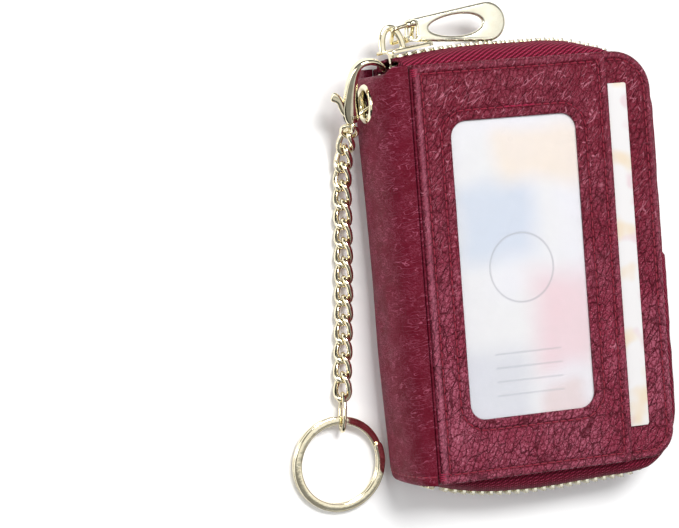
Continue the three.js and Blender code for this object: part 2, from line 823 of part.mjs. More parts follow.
// Clasp: two cheeks either side of the gate, a hook over the top edge of the spine, an eye below
function addClasp() {
  const seat = new THREE.Group();
  seat.position.set(spineOuterX, eyeletY, eyeletHeight);
  seat.rotation.x = claspDroop;
  model.add(seat);
  const [pivotX, pivotY] = claspPivotShare.map((share) => share * claspLength);
  const [eyeX, eyeY] = claspEyeShare.map((share) => share * claspLength);
  const bore = claspPinRadius + claspPinGap;
  const boreTool = new THREE.CylinderGeometry(bore, bore, 2 * claspDepth, 10).rotateX(Math.PI / 2);
  const slotLow = pivotY - claspPinRadius - claspEyeWire;
  const slotHigh = pivotY + claspSlotWidth + 2 * claspEyeRadius;
  const slot = block(
    -claspLength,
    slotLow,
    -claspSlotWidth / 2,
    claspLength,
    slotHigh,
    claspSlotWidth / 2,
  );
  const pivotBore = boreTool.clone().translate(pivotX, pivotY, 0);
  const back = cut(barAlong(claspBackShares, claspDepth, 22, 10), slot, pivotBore);
  piece('clasp_body', joined(back, eyeRing(eyeX, eyeY)), metalFinish, seat);
  const pinLength = claspDepth - 2 * claspPinInset;
  const pin = new THREE.CylinderGeometry(claspPinRadius, claspPinRadius, pinLength, 10).rotateX(Math.PI / 2);
  piece('clasp_pin', outward(pin), metalFinish, seat).position.set(pivotX, pivotY, 0);
  const gate = cut(barAlong(claspGateShares, gateDepth, 24, 6), pivotBore);
  gate.translate(-pivotX, -pivotY, 0);
  piece('clasp_gate', gate, metalFinish, seat).position.set(pivotX, pivotY, 0);
  return seat.localToWorld(new THREE.Vector3(eyeX, eyeY, 0));
}

/** A closed oval of wire in X and Y, twisted about X by the given angle at either end. */
class LinkCurve extends THREE.Curve {
  constructor(halfLength, halfWidth, twist) {
    super();
    Object.assign(this, { halfLength, halfWidth, twist });
  }

  getPoint(t, target = new THREE.Vector3()) {
    const turn = 2 * Math.PI * t;
    const lean = this.twist * Math.cos(turn);
    const across = this.halfWidth * Math.sin(turn);
    return target.set(this.halfLength * Math.cos(turn), across * Math.cos(lean), across * Math.sin(lean));
  }
}

/** An oval link of wire whose middle is a given way along +X from the origin. */
function wireLink(length, width, wire, twist, middle, steps = 20, sides = 6) {
  const curve = new LinkCurve((length - wire) / 2, (width - wire) / 2, twist);
  return outward(new THREE.TubeGeometry(curve, steps, wire / 2, sides, true)).translate(middle, 0, 0);
}

/** Places a piece at a point, with its X along a direction and its Y level, then turned about X. */
function aim(mesh, point, direction, roll = 0) {
  const side = new THREE.Vector3(0, 0, 1).cross(direction).normalize();
  const up = new THREE.Vector3().crossVectors(direction, side);
  mesh.quaternion.setFromRotationMatrix(new THREE.Matrix4().makeBasis(direction, side, up));
  mesh.rotateX(roll);
  mesh.position.copy(point);
}

/** The direction at a share of the way along the chain, with a slope. */
function heading(share, slope) {
  const turn = THREE.MathUtils.lerp(chainHeadingFirst, chainHeadingLast, share);
  const level = Math.cos(slope);
  return new THREE.Vector3(level * Math.cos(turn), level * Math.sin(turn), Math.sin(slope));
}

/** The height of a curb link's middle when it lies on the ground. */
function curbLie() {
  let high = 0;
  const curve = new LinkCurve((curbLength - curbWire) / 2, (curbWidth - curbWire) / 2, curbTwist);
  for (let i = 0; i < 60; i += 1) high = Math.max(high, curve.getPoint(i / 60).z);
  return high + curbWire / 2 + layGap;
}

/** The split ring's band: two flat turns with a step between them, its middle at the origin. */
function splitRingGeometry() {
  const radius = (ringOuter - ringBand) / 2;
  const turnSteps = 32;
  const stepShare = 0.1;
  const blendShare = 0.08;
  const rise = ringLeaf + ringLeafGap;
  const first = stepShare;
  const last = 2 - stepShare;
  const steps = Math.round(turnSteps * (last - first));
  const rings = [];
  for (let i = 0; i <= steps; i += 1) {
    const share = THREE.MathUtils.lerp(first, last, i / steps);
    const turn = 2 * Math.PI * share;
    const level = rise * (THREE.MathUtils.smoothstep(share, 1 - blendShare, 1 + blendShare) - 0.5);
    const ring = [
      [radius - ringBand / 2, -ringLeaf / 2],
      [radius + ringBand / 2, -ringLeaf / 2],
      [radius + ringBand / 2, ringLeaf / 2],
      [radius - ringBand / 2, ringLeaf / 2],
    ].map(([r, z]) => new THREE.Vector3(r * Math.cos(turn), r * Math.sin(turn), level + z));
    rings.push(ring);
  }
  return loft(rings);
}

// Jump ring, curb chain, end link and split ring, from the clasp's eye down to the ground
function addChain(eye) {
  const jumpWay = heading(0, drapeTurns[0]);
  const jump = new THREE.TorusGeometry(jumpRadius, jumpWire / 2, 6, 18);
  aim(piece('jump_ring', outward(jump).translate(jumpRadius, 0, 0), metalFinish), eye, jumpWay, jumpLean);
  const joint = eye.clone().addScaledVector(jumpWay, 2 * jumpRadius - (curbWire + jumpWire) / 4 - fitGap / 2);
  const lie = curbLie();
  for (let i = 0; i < curbCount; i += 1) {
    const name = `chain_link_${String(i + 1).padStart(2, '0')}`;
    const fall = THREE.MathUtils.clamp((lie - joint.z) / curbPitch, -1, 1);
    const settled = i === curbCount - 1 ? endLinkRise / 2 : Math.asin(fall);
    const way = heading(i / curbCount, i + 1 < drapeTurns.length ? drapeTurns[i + 1] : settled);
    const geometry = wireLink(curbLength, curbWidth, curbWire, curbTwist, curbPitch / 2);
    aim(piece(name, geometry, metalFinish), joint, way);
    joint.addScaledVector(way, curbPitch);
  }
  const endMiddle = (endLinkLength - endLinkWire - (curbWire + endLinkWire) / 2 - fitGap) / 2;
  const endWay = heading(1, endLinkRise);
  const endGeometry = wireLink(endLinkLength, endLinkWidth, endLinkWire, 0, endMiddle, 18);
  aim(piece('end_link', endGeometry, metalFinish), joint, endWay, -endLinkLean);
  joint.addScaledVector(endWay, endLinkPitch);
  const bandRadius = (ringOuter - ringBand) / 2;
  const rest = ringLeaf + ringLeafGap / 2 + layGap;
  const ringWay = heading(1, -Math.asin((joint.z - rest) / (2 * bandRadius)));
  const ring = splitRingGeometry().rotateZ(ringSplitTurn).translate(bandRadius, 0, 0);
  aim(piece('split_ring', ring, metalFinish), joint, ringWay);
}

/** One accordion leaf from its sewn edge: a panel with a hem and half a V gusset at each end. */
function leafGeometry(pitch) {
  const half = topY - leafFromEnd;
  const t = leafThickness / 2;
  const rise = pitch / 2 - layGap;
  const reach = half + gussetDepth;
  const side = (s) => [
    [s * half, t],
    [s * reach, rise],
    [s * reach, rise - gussetWall],
    [s * (half + leafThickness + gussetWall), 0],
    [s * reach, gussetWall - rise],
    [s * reach, -rise],
    [s * half, -t],
  ];
  const outline = [...side(1), ...side(-1).reverse()].map(([y, z]) => new THREE.Vector2(y, z));
  const folded = slab(new THREE.Shape(outline), gussetStart, leafDepth, 1);
  folded.rotateZ(Math.PI / 2).rotateY(Math.PI / 2);
  const panel = block(leafStart, -half, -t, gussetStart + t, half, t);
  const hem = block(
    leafDepth - hemWidth,
    -half,
    -hemThickness / 2,
    leafDepth + t,
    half,
    hemThickness / 2,
  );
  return joined(folded, panel, hem);
}

// Accordion: leaves hinged one above the other along the spine
function addAccordion() {
  const pitch = (frontInside - backInside) / (leafCount + 1);
  for (let i = 1; i <= leafCount; i += 1) {
    const mesh = piece(`pocket_leaf_${String(i).padStart(2, '0')}`, leafGeometry(pitch), liningFinish);
    mesh.position.set(creaseX + leafPivotInset, 0, backInside + i * pitch);
  }
}

// Coin pocket zip: tape on the back lining, coil, slider and a small pull, running along Y
function addCoinZip() {
  const x = coinZipX;
  const tapeLow = backInside + layGap;
  const tapeTop = tapeLow + coinTapeThickness;
  const coilLow = tapeTop + layGap;
  const coilTop = coilLow + coinCoilHeight;
  const half = coinTapeLength / 2;
  const tape = plate(x - coinTapeWidth / 2, x + coinTapeWidth / 2, -half, half, 0, 0);
  piece('coin_zip_tape', slab(tape, tapeLow, tapeTop), tapeFinish);
  const wide = coinCoilWidth / 2;
  const section = new THREE.Shape([
    new THREE.Vector2(-wide, 0),
    new THREE.Vector2(wide, 0),
    new THREE.Vector2(wide, coinCoilHeight / 2),
    new THREE.Vector2(wide / 2, coinCoilHeight),
    new THREE.Vector2(-wide / 2, coinCoilHeight),
    new THREE.Vector2(-wide, coinCoilHeight / 2),
  ]);
  const coil = slabAlongY(section, coinSliderInset / 2 - half, half - coinSliderInset / 2);
  piece('coin_zip_coil', coil, nylonFinish).position.set(x, 0, coilLow);
  const roofLow = coilTop + layGap;
  const roofTop = roofLow + coinSliderRoof;
  const y = coinSliderInset + coinSliderLength / 2 - half;
  const halfSlider = coinSliderLength / 2;
  const shell = slab(
    plate(-coinSliderWidth / 2, coinSliderWidth / 2, -halfSlider, halfSlider, coinSliderRoof, coinSliderRoof),
    coilLow - roofLow,
    coinSliderRoof,
  );
  const channel = block(
    -wide - layGap,
    -halfSlider - cutOverrun,
    coilLow - roofLow - cutOverrun,
    wide + layGap,
    halfSlider + cutOverrun,
    0,
  );
  const arch = archStripGeometry(coinArchHalfSpan, coinArchHeight, coinArchStrip, coinArchWidth);
  arch.rotateX(Math.PI / 2).rotateZ(Math.PI / 2).translate(0, 0, coinSliderRoof - layGap);
  const slider = piece('coin_slider', joined(cut(shell, channel), arch), metalFinish);
  slider.position.set(x, y, roofLow);
  const pull = piece('coin_pull', coinPullGeometry(), metalFinish);
  pull.position.set(x, y, roofTop + (coinArchHeight - coinArchStrip) / 2);
}

/** The coin slider's pull: a wire bar through the arch, two arms and a plate with a round hole, along +Y. */
function coinPullGeometry() {
  const half = coinPullWidth / 2;
  const wire = coinLoopWire / 2;
  const gap = coinArchHalfSpan + fitGap + wire;
  const outline = plate(-half, half, -wire, coinPullLength, wire, half / 2);
  const window = plate(-half + coinLoopWire, half - coinLoopWire, wire, gap, 0, 0);
  const hole = new THREE.Path();
  hole.absarc(0, coinPullLength - half, coinPullHole / 2, 0, 2 * Math.PI);
  outline.holes.push(window, hole);
  return slab(outline, -coinPullThickness / 2, coinPullThickness / 2, 4);
}

addCovers();
addSpine();
addEyelet();
addFrontPocket();
addMainZip();
addSlider();
model.updateMatrixWorld(true);
const claspEye = addClasp();
addChain(claspEye);
addAccordion();
addCoinZip();

export default model;
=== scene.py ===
"""Looks of the zip-round card wallet: leather, zip, metal ware, pockets and studio.

The classes give their sizes in millimetres in the row frame: +Z up, the spine at -X, the slider
end at +Y, the origin in the middle of the back cover's outer face. A finished piece is in metres.
"""
import logging
import math
from dataclasses import dataclass, field
from enum import Enum
from typing import Callable, Iterable, Sequence

import bmesh
import bpy
from mathutils import Matrix, Vector, noise


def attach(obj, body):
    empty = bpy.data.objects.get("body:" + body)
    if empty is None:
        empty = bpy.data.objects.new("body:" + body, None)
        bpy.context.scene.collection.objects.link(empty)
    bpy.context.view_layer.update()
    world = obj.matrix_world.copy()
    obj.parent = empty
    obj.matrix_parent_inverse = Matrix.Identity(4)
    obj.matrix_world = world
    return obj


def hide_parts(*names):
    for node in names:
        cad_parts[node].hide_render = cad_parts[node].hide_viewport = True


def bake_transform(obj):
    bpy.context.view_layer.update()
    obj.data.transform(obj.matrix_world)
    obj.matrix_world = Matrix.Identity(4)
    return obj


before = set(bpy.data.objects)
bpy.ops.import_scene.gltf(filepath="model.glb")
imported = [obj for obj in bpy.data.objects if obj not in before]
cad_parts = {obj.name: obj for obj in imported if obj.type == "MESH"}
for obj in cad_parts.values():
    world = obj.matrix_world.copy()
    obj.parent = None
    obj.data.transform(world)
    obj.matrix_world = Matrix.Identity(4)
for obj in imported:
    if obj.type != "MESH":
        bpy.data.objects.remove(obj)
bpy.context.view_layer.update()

MM = 0.001
IMAGE_WIDTH = 679
LAY = "lay"
UP = Vector((0.0, 0.0, 1.0))
log = logging.getLogger("card_wallet")
Ring = list[Vector]
Colour = tuple[float, float, float, float]


def dye(red: int, green: int, blue: int) -> Colour:
    """A display colour of 0 to 255 steps as the linear colour with full alpha that shaders take."""
    def linear(step: int) -> float:
        """One channel on the linear scale."""
        share = step / 255
        return share / 12.92 if share <= 0.04045 else ((share + 0.055) / 1.055) ** 2.4

    return (linear(red), linear(green), linear(blue), 1.0)


def ease(value: float, low: float, high: float) -> float:
    """A smooth step from 0 at low to 1 at high."""
    share = min(max((value - low) / (high - low), 0.0), 1.0)
    return share * share * (3 - 2 * share)


def bell(value: float, middle: float, reach: float) -> float:
    """A smooth hump of height 1 about a middle."""
    return math.exp(-((value - middle) / reach) ** 2)


def blend_value(first: float, second: float, share: float) -> float:
    """The value a share of the way from first to second."""
    return first + (second - first) * share


# ---------------------------------------------------------------- shader maths


class Wire:
    """A shader value that Python operators join into Math nodes."""

    def __init__(self, pot: "DyePot", socket: bpy.types.NodeSocket) -> None:
        """Keeps the socket and the pot whose tree it belongs to."""
        self.pot = pot
        self.socket = socket

    def join(self, operation: str, *values: "Wire | float") -> "Wire":
        """A Math node's result on the values, in order."""
        node = self.pot.node("ShaderNodeMath", {"operation": operation}, dict(enumerate(values)))
        return self.pot.wire(node)

    def __add__(self, other: "Wire | float") -> "Wire":
        """This plus other."""
        return self.join("ADD", self, other)

    __radd__ = __add__

    def __sub__(self, other: "Wire | float") -> "Wire":
        """This less other."""
        return self.join("SUBTRACT", self, other)

    def __rsub__(self, other: float) -> "Wire":
        """Other less this."""
        return self.join("SUBTRACT", other, self)

    def __mul__(self, other: "Wire | float") -> "Wire":
        """This times other."""
        return self.join("MULTIPLY", self, other)

    __rmul__ = __mul__

    def __truediv__(self, other: "Wire | float") -> "Wire":
        """This over other."""
        return self.join("DIVIDE", self, other)

    def __pow__(self, power: float) -> "Wire":
        """This raised to a power."""
        return self.join("POWER", self, power)

    def sine(self) -> "Wire":
        """The sine of this, in radians."""
        return self.join("SINE", self)

    def size(self) -> "Wire":
        """This without its sign."""
        return self.join("ABSOLUTE", self)

    def most(self, other: "Wire | float") -> "Wire":
        """The larger of the two."""
        return self.join("MAXIMUM", self, other)

    def eased(self, low: float, high: float) -> "Wire":
        """A smooth step from 0 at low to 1 at high."""
        settings = {"interpolation_type": "SMOOTHSTEP"}
        node = self.pot.node("ShaderNodeMapRange", settings, {0: self, 1: low, 2: high})
        return self.pot.wire(node)

    def swing(self, pitch: float) -> "Wire":
        """A wave of -1 to 1 that repeats at a pitch."""
        return (self * (math.tau / pitch)).sine()

    def wave(self, pitch: float) -> "Wire":
        """A wave of 0 to 1 that repeats at a pitch."""
        return self.swing(pitch) * 0.5 + 0.5


class DyePot:
    """The node tree of one material or world while it is being mixed."""

    def __init__(self, owner: bpy.types.Material | bpy.types.World) -> None:
        """Empties the owner's tree."""
        owner.use_nodes = True
        self.tree = owner.node_tree
        self.tree.nodes.clear()

    def node(self, kind: str, settings: dict | None = None,
             values: dict | None = None) -> bpy.types.Node:
        """Adds a node.

        Args:
            kind: its type.
            settings: its properties, set first; "stops" gives a ramp's places and colours.
            values: a number, a colour or a wire for each socket, by name or place.

        Returns:
            The new node.
        """
        node = self.tree.nodes.new(kind)
        for key, value in (settings or {}).items():
            if key == "stops":
                for stop, (place, colour) in zip(node.color_ramp.elements, value):
                    stop.position, stop.color = place, colour
            else:
                setattr(node, key, value)
        for key, value in (values or {}).items():
            if isinstance(value, Wire):
                self.tree.links.new(value.socket, node.inputs[key])
            else:
                node.inputs[key].default_value = value
        return node

    def wire(self, node: bpy.types.Node, output: int | str = 0) -> Wire:
        """One of a node's results."""
        return Wire(self, node.outputs[output])

    def vector(self, operation: str, values: dict) -> Wire:
        """A Vector Math node's result."""
        return self.wire(self.node("ShaderNodeVectorMath", {"operation": operation}, values))

    def place(self) -> Wire:
        """The place on the object in millimetres."""
        here = self.wire(self.node("ShaderNodeTexCoord"), "Object")
        return self.vector("SCALE", {0: here, "Scale": 1 / MM})

    def laid(self) -> Wire:
        """What the mesh keeps of its pattern, such as the place along and across a strip, or
        painted seam shade and edge highlight.
        """
        return self.wire(self.node("ShaderNodeAttribute", {"attribute_name": LAY}), "Vector")

    def parts(self, vector: Wire) -> tuple[Wire, ...]:
        """The three parts of a vector."""
        node = self.node("ShaderNodeSeparateXYZ", None, {0: vector})
        return tuple(self.wire(node, part) for part in range(3))

    def turned(self, vector: Wire, degrees: float, scale: tuple[float, float, float]) -> Wire:
        """A vector turned about Z and stretched, for a grain that runs one way."""
        values = {"Rotation": (0.0, 0.0, math.radians(degrees)), "Scale": scale, "Vector": vector}
        return self.wire(self.node("ShaderNodeMapping", {"vector_type": "TEXTURE"}, values))

    def cloud(self, place: Wire, scale: float, detail: float = 2.0, rough: float = 0.5,
              output: int = 0) -> Wire:
        """Soft noise of 0 to 1 with features about 1/scale across; output 1 has three parts."""
        values = {"Vector": place, "Scale": scale, "Detail": detail, "Roughness": rough}
        return self.wire(self.node("ShaderNodeTexNoise", None, values), output)

    def strayed(self, place: Wire, scale: float, reach: float) -> Wire:
        """A place pushed about by noise, so that what is drawn there isn't regular."""
        push = self.cloud(place, scale, output=1)
        return self.vector("MULTIPLY_ADD", {0: push, 1: (reach,) * 3, 2: place})

    def cells(self, place: Wire, scale: float, feature: str = "DISTANCE_TO_EDGE") -> Wire:
        """Distance inside a pattern of cells."""
        values = {"Vector": place, "Scale": scale}
        return self.wire(self.node("ShaderNodeTexVoronoi", {"feature": feature}, values))

    def mix(self, amount: Wire | float, first: Wire | Colour, second: Wire | Colour) -> Wire:
        """A colour between two."""
        values = {0: amount, 6: first, 7: second}
        return self.wire(self.node("ShaderNodeMix", {"data_type": "RGBA"}, values), 2)

    def coated(self, body: Wire | Colour, *coats: tuple[Wire | float, Wire | Colour]) -> Wire:
        """A colour under coats, each an amount and a colour."""
        for amount, colour in coats:
            body = self.mix(amount, body, colour)
        return body

    def bumped(self, *reliefs: tuple[Wire, float, float]) -> Wire:
        """The normal of reliefs laid on each other.

        Args:
            reliefs: for each its height from 0 to 1, the depth of a step of 1 in millimetres,
                and how much of it shows.

        Returns:
            The normal.
        """
        under = {}
        for height, depth, strength in reliefs:
            values = {"Height": height, "Distance": depth * MM, "Strength": strength} | under
            under = {"Normal": self.wire(self.node("ShaderNodeBump", None, values))}
        return under["Normal"]

    def pour(self, output: str, surface: bpy.types.Node) -> None:
        """Closes the tree with its output node."""
        self.node(output, None, {0: self.wire(surface)})


# ---------------------------------------------------------------- finishes


@dataclass(frozen=True)
class Finish:
    """A finish: its material's name, and its slot, which is not used."""

    name: str
    slot: str

    def mixed(self) -> bpy.types.Material:
        """The finished material."""
        material = bpy.data.materials.new(self.name)
        pot = DyePot(material)
        sockets = {key.replace("_", " "): value
                   for key, value in self.sockets(pot, pot.place()).items()}
        pot.pour("ShaderNodeOutputMaterial", pot.node("ShaderNodeBsdfPrincipled", None, sockets))
        return material

    def sockets(self, pot: DyePot, here: Wire) -> dict[str, Wire | float | Colour]:
        """The Principled surface's inputs, with underscores for spaces."""
        raise NotImplementedError


@dataclass(frozen=True)
class GrainedLeather(Finish):
    """Pebbled leather with slanting folds: painted shade in creases, folds and seams; painted rose
    highlights, glints and pale hairs.
    """

    base: Colour = dye(136, 30, 58)
    # painted shade for the crease lines, the slanting folds and the sewn grooves
    painted_shade: Colour = dye(66, 0, 16)
    # top: a painted rose highlight for the pebble tops and the rolled edge
    top: Colour = dye(186, 108, 130)
    # painted glint colour for the glint spots and the pale highlight hairs
    painted_glint: Colour = dye(224, 140, 160)
    # a darker, more saturated base towards the slider end
    upper_tone: Colour = dye(112, 4, 34)
    pebble: float = 1.05
    pebble_depth: float = 0.2
    fold_depth: float = 0.16
    hair_depth: float = 0.09
    pore_depth: float = 0.02
    fold_turn: float = 58.0
    hair_turn: float = 50.0
    gloss: float = 0.38

    def sockets(self, pot: DyePot, here: Wire) -> dict[str, Wire | float | Colour]:
        """Pebbles, folds and hairs from cells, with painted shade and highlights that follow where
        the leather is tight and how near the slider end it is.
        """
        loose, crumbs = pot.strayed(here, 0.9, 0.5), pot.strayed(here, 2.4, 0.25)
        _, y, _ = pot.parts(here)
        # seam: painted shade along the sewn groove; roll: painted highlight on the rolled edge,
        # both kept on the mesh
        seam, roll, _ = pot.parts(pot.laid())
        # upper: towards the slider end, where the base is darker and the painted highlights weaker
        upper = y.eased(-24.0, 30.0)
        broad = pot.cells(pot.turned(loose, self.fold_turn, (1.35, 0.85, 1.0)), 1 / self.pebble)
        fine = pot.cells(crumbs, 2.3 / self.pebble)
        # cells for the painted glint spots
        glint_cells = pot.cells(crumbs, 2.3 / self.pebble, "F1")
        folds = pot.cells(pot.turned(loose, self.fold_turn + 6.0, (3.4, 1.25, 2.0)), 0.62)
        strands = pot.turned(pot.strayed(here, 0.4, 0.7), self.hair_turn, (4.4, 0.85, 2.0))
        groove, pit, fold = broad.eased(0.0, 0.13), fine.eased(0.0, 0.16), folds.eased(0.0, 0.075)
        dome = broad.eased(0.0, 0.34) * 0.6 + fine.eased(0.0, 0.3) * 0.4
        drawn = (pot.cloud(here, 0.09, 3.0, 0.6) + upper * 0.24).eased(0.5, 0.74)
        broken = pot.cloud(here, 0.5).eased(0.42, 0.6)
        # hair: thin lines, bumped, and painted pale as highlights where the leather is tight
        hair = (1 - pot.cells(strands, 0.8).eased(0.0, 0.05)) * (drawn * 0.85 + 0.1) * broken
        glint_spots = (1 - glint_cells.eased(0.12, 0.42)) * pot.cloud(here, 1.6).eased(0.42, 0.62)
        # shine: broad patches where the painted highlight on the tops is stronger
        shine = pot.cloud(here, 0.055).eased(0.36, 0.64)
        pores = pot.cloud(here, 9.0)
        body = pot.coated(
            # painted shade in the crease lines, with the base colour between them
            self.painted_shade, (groove * 0.72 + pit * 0.28, pot.mix(upper * 0.8, self.base, self.upper_tone)),
            # painted rose highlight on the pebble tops, less of it towards the slider end
            (dome * (shine * 0.5 + 0.16) * (1 - upper * 0.66), self.top),
            # painted glint spots, fewer towards the slider end
            (glint_spots * (0.5 - upper * 0.34), self.painted_glint),
            # painted shade in the slanting folds, less where the leather is tight, then painted
            # pale highlights along the hairs
            ((1 - fold) * (0.8 - drawn * 0.5), self.painted_shade), (hair * 0.62, self.painted_glint),
            # painted highlight on the rolled edge and painted shade in the sewn groove
            (roll * 0.4, self.top), (seam * 0.85, self.painted_shade))
        normal = pot.bumped(
            (dome * (1 - 0.35 * drawn), self.pebble_depth, 1.0), (fold, self.fold_depth, 0.9),
            (hair, self.hair_depth, 0.8), (pores, self.pore_depth, 0.5))
        rough = (1 - groove) * 0.3 + (1 - fold) * 0.2 + pores * 0.1 + self.gloss
        return {"Base_Color": body, "Roughness": rough, "Normal": normal,
                "Specular_IOR_Level": 0.22}


@dataclass(frozen=True)
class SmoothLeather(Finish):
    """The spine's leather: stretched smooth, with painted shade towards the front crease and fine
    pale lines across the bend, painted as highlights on wrinkles.
    """

    name: str = "spine_smooth_leather"
    slot: str = "spine_leather"
    base: Colour = dye(120, 20, 48)
    # deep: a darker tone in patches, and painted shade towards the front crease and in the grain's
    # creases
    deep: Colour = dye(90, 0, 24)
    # pull: painted highlight colour for the pale lines on the wrinkles
    pull: Colour = dye(200, 108, 134)
    gloss: float = 0.42

    def sockets(self, pot: DyePot, here: Wire) -> dict[str, Wire | float | Colour]:
        """Pale lines from the contours of two stretched clouds, painted as highlights on wrinkles,
        over a fine grain.
        """
        _, _, z = pot.parts(here)
        patch = pot.cloud(here, 0.11, 3.0, 0.55).eased(0.34, 0.66)
        across = pot.turned(pot.strayed(here, 0.35, 1.2), 14.0, (3.4, 0.9, 3.4))
        slant = pot.turned(pot.strayed(here, 0.5, 0.8), -32.0, (2.6, 0.62, 2.6))
        net = 1 - (pot.cloud(across, 0.42, 2.0, 0.6) * 22).sine().size().eased(0.0, 0.38)
        mesh = 1 - (pot.cloud(slant, 0.8, 2.0, 0.6) * 26).sine().size().eased(0.1, 0.8)
        shown = pot.cloud(here, 0.17, 3.0).eased(0.38, 0.6)
        faint = pot.cloud(here, 0.3).eased(0.36, 0.6)
        # high: towards the front crease, where painted shade takes over and the fine lines fade
        high = z.eased(15.0, 22.5)
        marks = (net * (shown * 0.8 + 0.16)).most(mesh * faint * (0.8 - high * 0.5))
        grain = pot.cells(pot.strayed(here, 1.1, 0.6), 1.5).eased(0.0, 0.25)
        # painted shade towards the front crease and in the fine grain's creases, painted highlights
        # along the wrinkle lines
        body = pot.coated(self.deep, ((patch * 0.5 + 0.5) * (1 - high * 0.72), self.base),
                          ((1 - grain) * 0.32, self.deep), (marks * 0.58, self.pull))
        normal = pot.bumped((grain, 0.07, 1.0), (marks, 0.08, 0.9),
                            (pot.cloud(here, 0.35, 3.0), 0.3, 0.6))
        rough = patch * 0.1 + (1 - grain) * 0.08 + self.gloss
        return {"Base_Color": body, "Roughness": rough, "Normal": normal,
                "Specular_IOR_Level": 0.12}


@dataclass(frozen=True)
class TwillTape(Finish):
    """Woven tape with diagonal ribs that follow the strip, rows of dots at the low end, and painted
    shade along the teeth.
    """

    base: Colour = dye(150, 8, 52)
    deep: Colour = dye(70, 0, 20)
    light: Colour = dye(234, 112, 148)
    rib: float = 0.92
    lean: float = 0.95
    thread: float = 0.5
    dot: float = 0.46
    row: float = 0.95

    def sockets(self, pot: DyePot, here: Wire) -> dict[str, Wire | float | Colour]:
        """Ribs and threads from waves along and across the strip."""
        along, across, from_teeth = pot.parts(pot.laid())
        _, y, _ = pot.parts(here)
        ribs = (along * 0.55 - across * self.lean + pot.cloud(here, 0.7) * 0.5).wave(self.rib)
        threads = (along + across * 0.35).wave(self.thread)
        dots = threads * (across - along * 0.2).swing(self.dot).eased(-0.4, 0.8)
        low = (1 - y.eased(-30.0, 0.0)) * (1 - across.swing(self.row).eased(-0.5, 0.5))
        weave = ribs * (0.55 + threads * 0.45) * (1 - low * 0.55)
        fuzz = pot.cloud(here, 3.5, 3.0)
        body = pot.coated(
            self.deep, (weave, self.base),
            ((weave * fuzz).eased(0.3, 0.7) * 0.3 + dots * weave * 0.5, self.light),
            # painted shade along the tape's edge by the teeth
            ((1 - from_teeth.eased(1.9, 2.7)) * 0.85, self.deep))
        normal = pot.bumped((weave, 0.12, 1.0), (fuzz, 0.04, 0.6))
        return {"Base_Color": body, "Roughness": 0.8, "Normal": normal, "Specular_IOR_Level": 0.2}


@dataclass(frozen=True)
class SewingThread(Finish):
    """Twisted thread, a shade off the leather."""

    base: Colour
    deep: Colour
    twist: float = 0.3

    def sockets(self, pot: DyePot, here: Wire) -> dict[str, Wire | float | Colour]:
        """The twist from a slanting wave."""
        x, y, z = pot.parts(here)
        twist = (x + y + z).wave(self.twist)
        return {"Base_Color": pot.mix(twist, self.deep, self.base), "Roughness": 0.6,
                "Normal": pot.bumped((twist, 0.03, 1.0)), "Sheen_Weight": 0.2}


@dataclass(frozen=True)
class PaleGold(Finish):
    """Plated metal: polished, with faint waviness and handling marks."""

    slot: str = "gold_metal"
    base: Colour = dye(246, 238, 210)
    deep: Colour = dye(228, 212, 170)
    rough: float = 0.08

    def sockets(self, pot: DyePot, here: Wire) -> dict[str, Wire | float | Colour]:
        """Wear and fine scratches from clouds."""
        wear = pot.cloud(here, 0.5, 3.0).eased(0.35, 0.7)
        scratch = pot.cloud(pot.turned(here, 25.0, (0.12, 2.5, 1.0)), 2.0)
        return {"Base_Color": pot.mix(wear * 0.35 + 0.65, self.deep, self.base), "Metallic": 1.0,
                "Roughness": wear * 0.015 + scratch * 0.03 + self.rough,
                "Normal": pot.bumped((pot.cloud(here, 0.9), 0.012, 1.0))}


@dataclass(frozen=True)
class LiningCloth(Finish):
    """Fine black twill lining with a soft satin light."""

    name: str = "lining_twill"
    slot: str = "black_lining"
    base: Colour = dye(40, 39, 43)
    deep: Colour = dye(14, 14, 17)

    def sockets(self, pot: DyePot, here: Wire) -> dict[str, Wire | float | Colour]:
        """The weave from two waves, with soft folds as bump and as painted light and shade."""
        x, y, z = pot.parts(here)
        weave = (x + y + z * 0.6).wave(0.62) * 0.7 + (x - y).wave(0.26) * 0.3
        fold = pot.cloud(here, 0.09, 3.0)
        # the weave lighter and darker with the fold cloud: painted light and shade of soft folds
        return {"Base_Color": pot.mix(weave * (0.4 + fold), self.deep, self.base),
                "Roughness": 0.55,
                "Normal": pot.bumped((weave, 0.05, 1.0), (fold, 0.5, 0.5)),
                "Sheen_Weight": 0.25, "Sheen_Roughness": 0.3}


@dataclass(frozen=True)
class ClearFilm(Finish):
    """Glossy clear film, a little hazy and wavy."""

    name: str = "window_film"
    slot: str = "clear_film"
    tint: Colour = dye(246, 247, 250)

    def sockets(self, pot: DyePot, here: Wire) -> dict[str, Wire | float | Colour]:
        """A haze and a wave from clouds."""
        return {"Base_Color": self.tint, "Roughness": 0.08, "Specular_IOR_Level": 0.6,
                "Alpha": pot.cloud(here, 0.05, 3.0) * 0.2 + 0.12,
                "Normal": pot.bumped((pot.cloud(here, 0.07), 0.8, 0.5))}


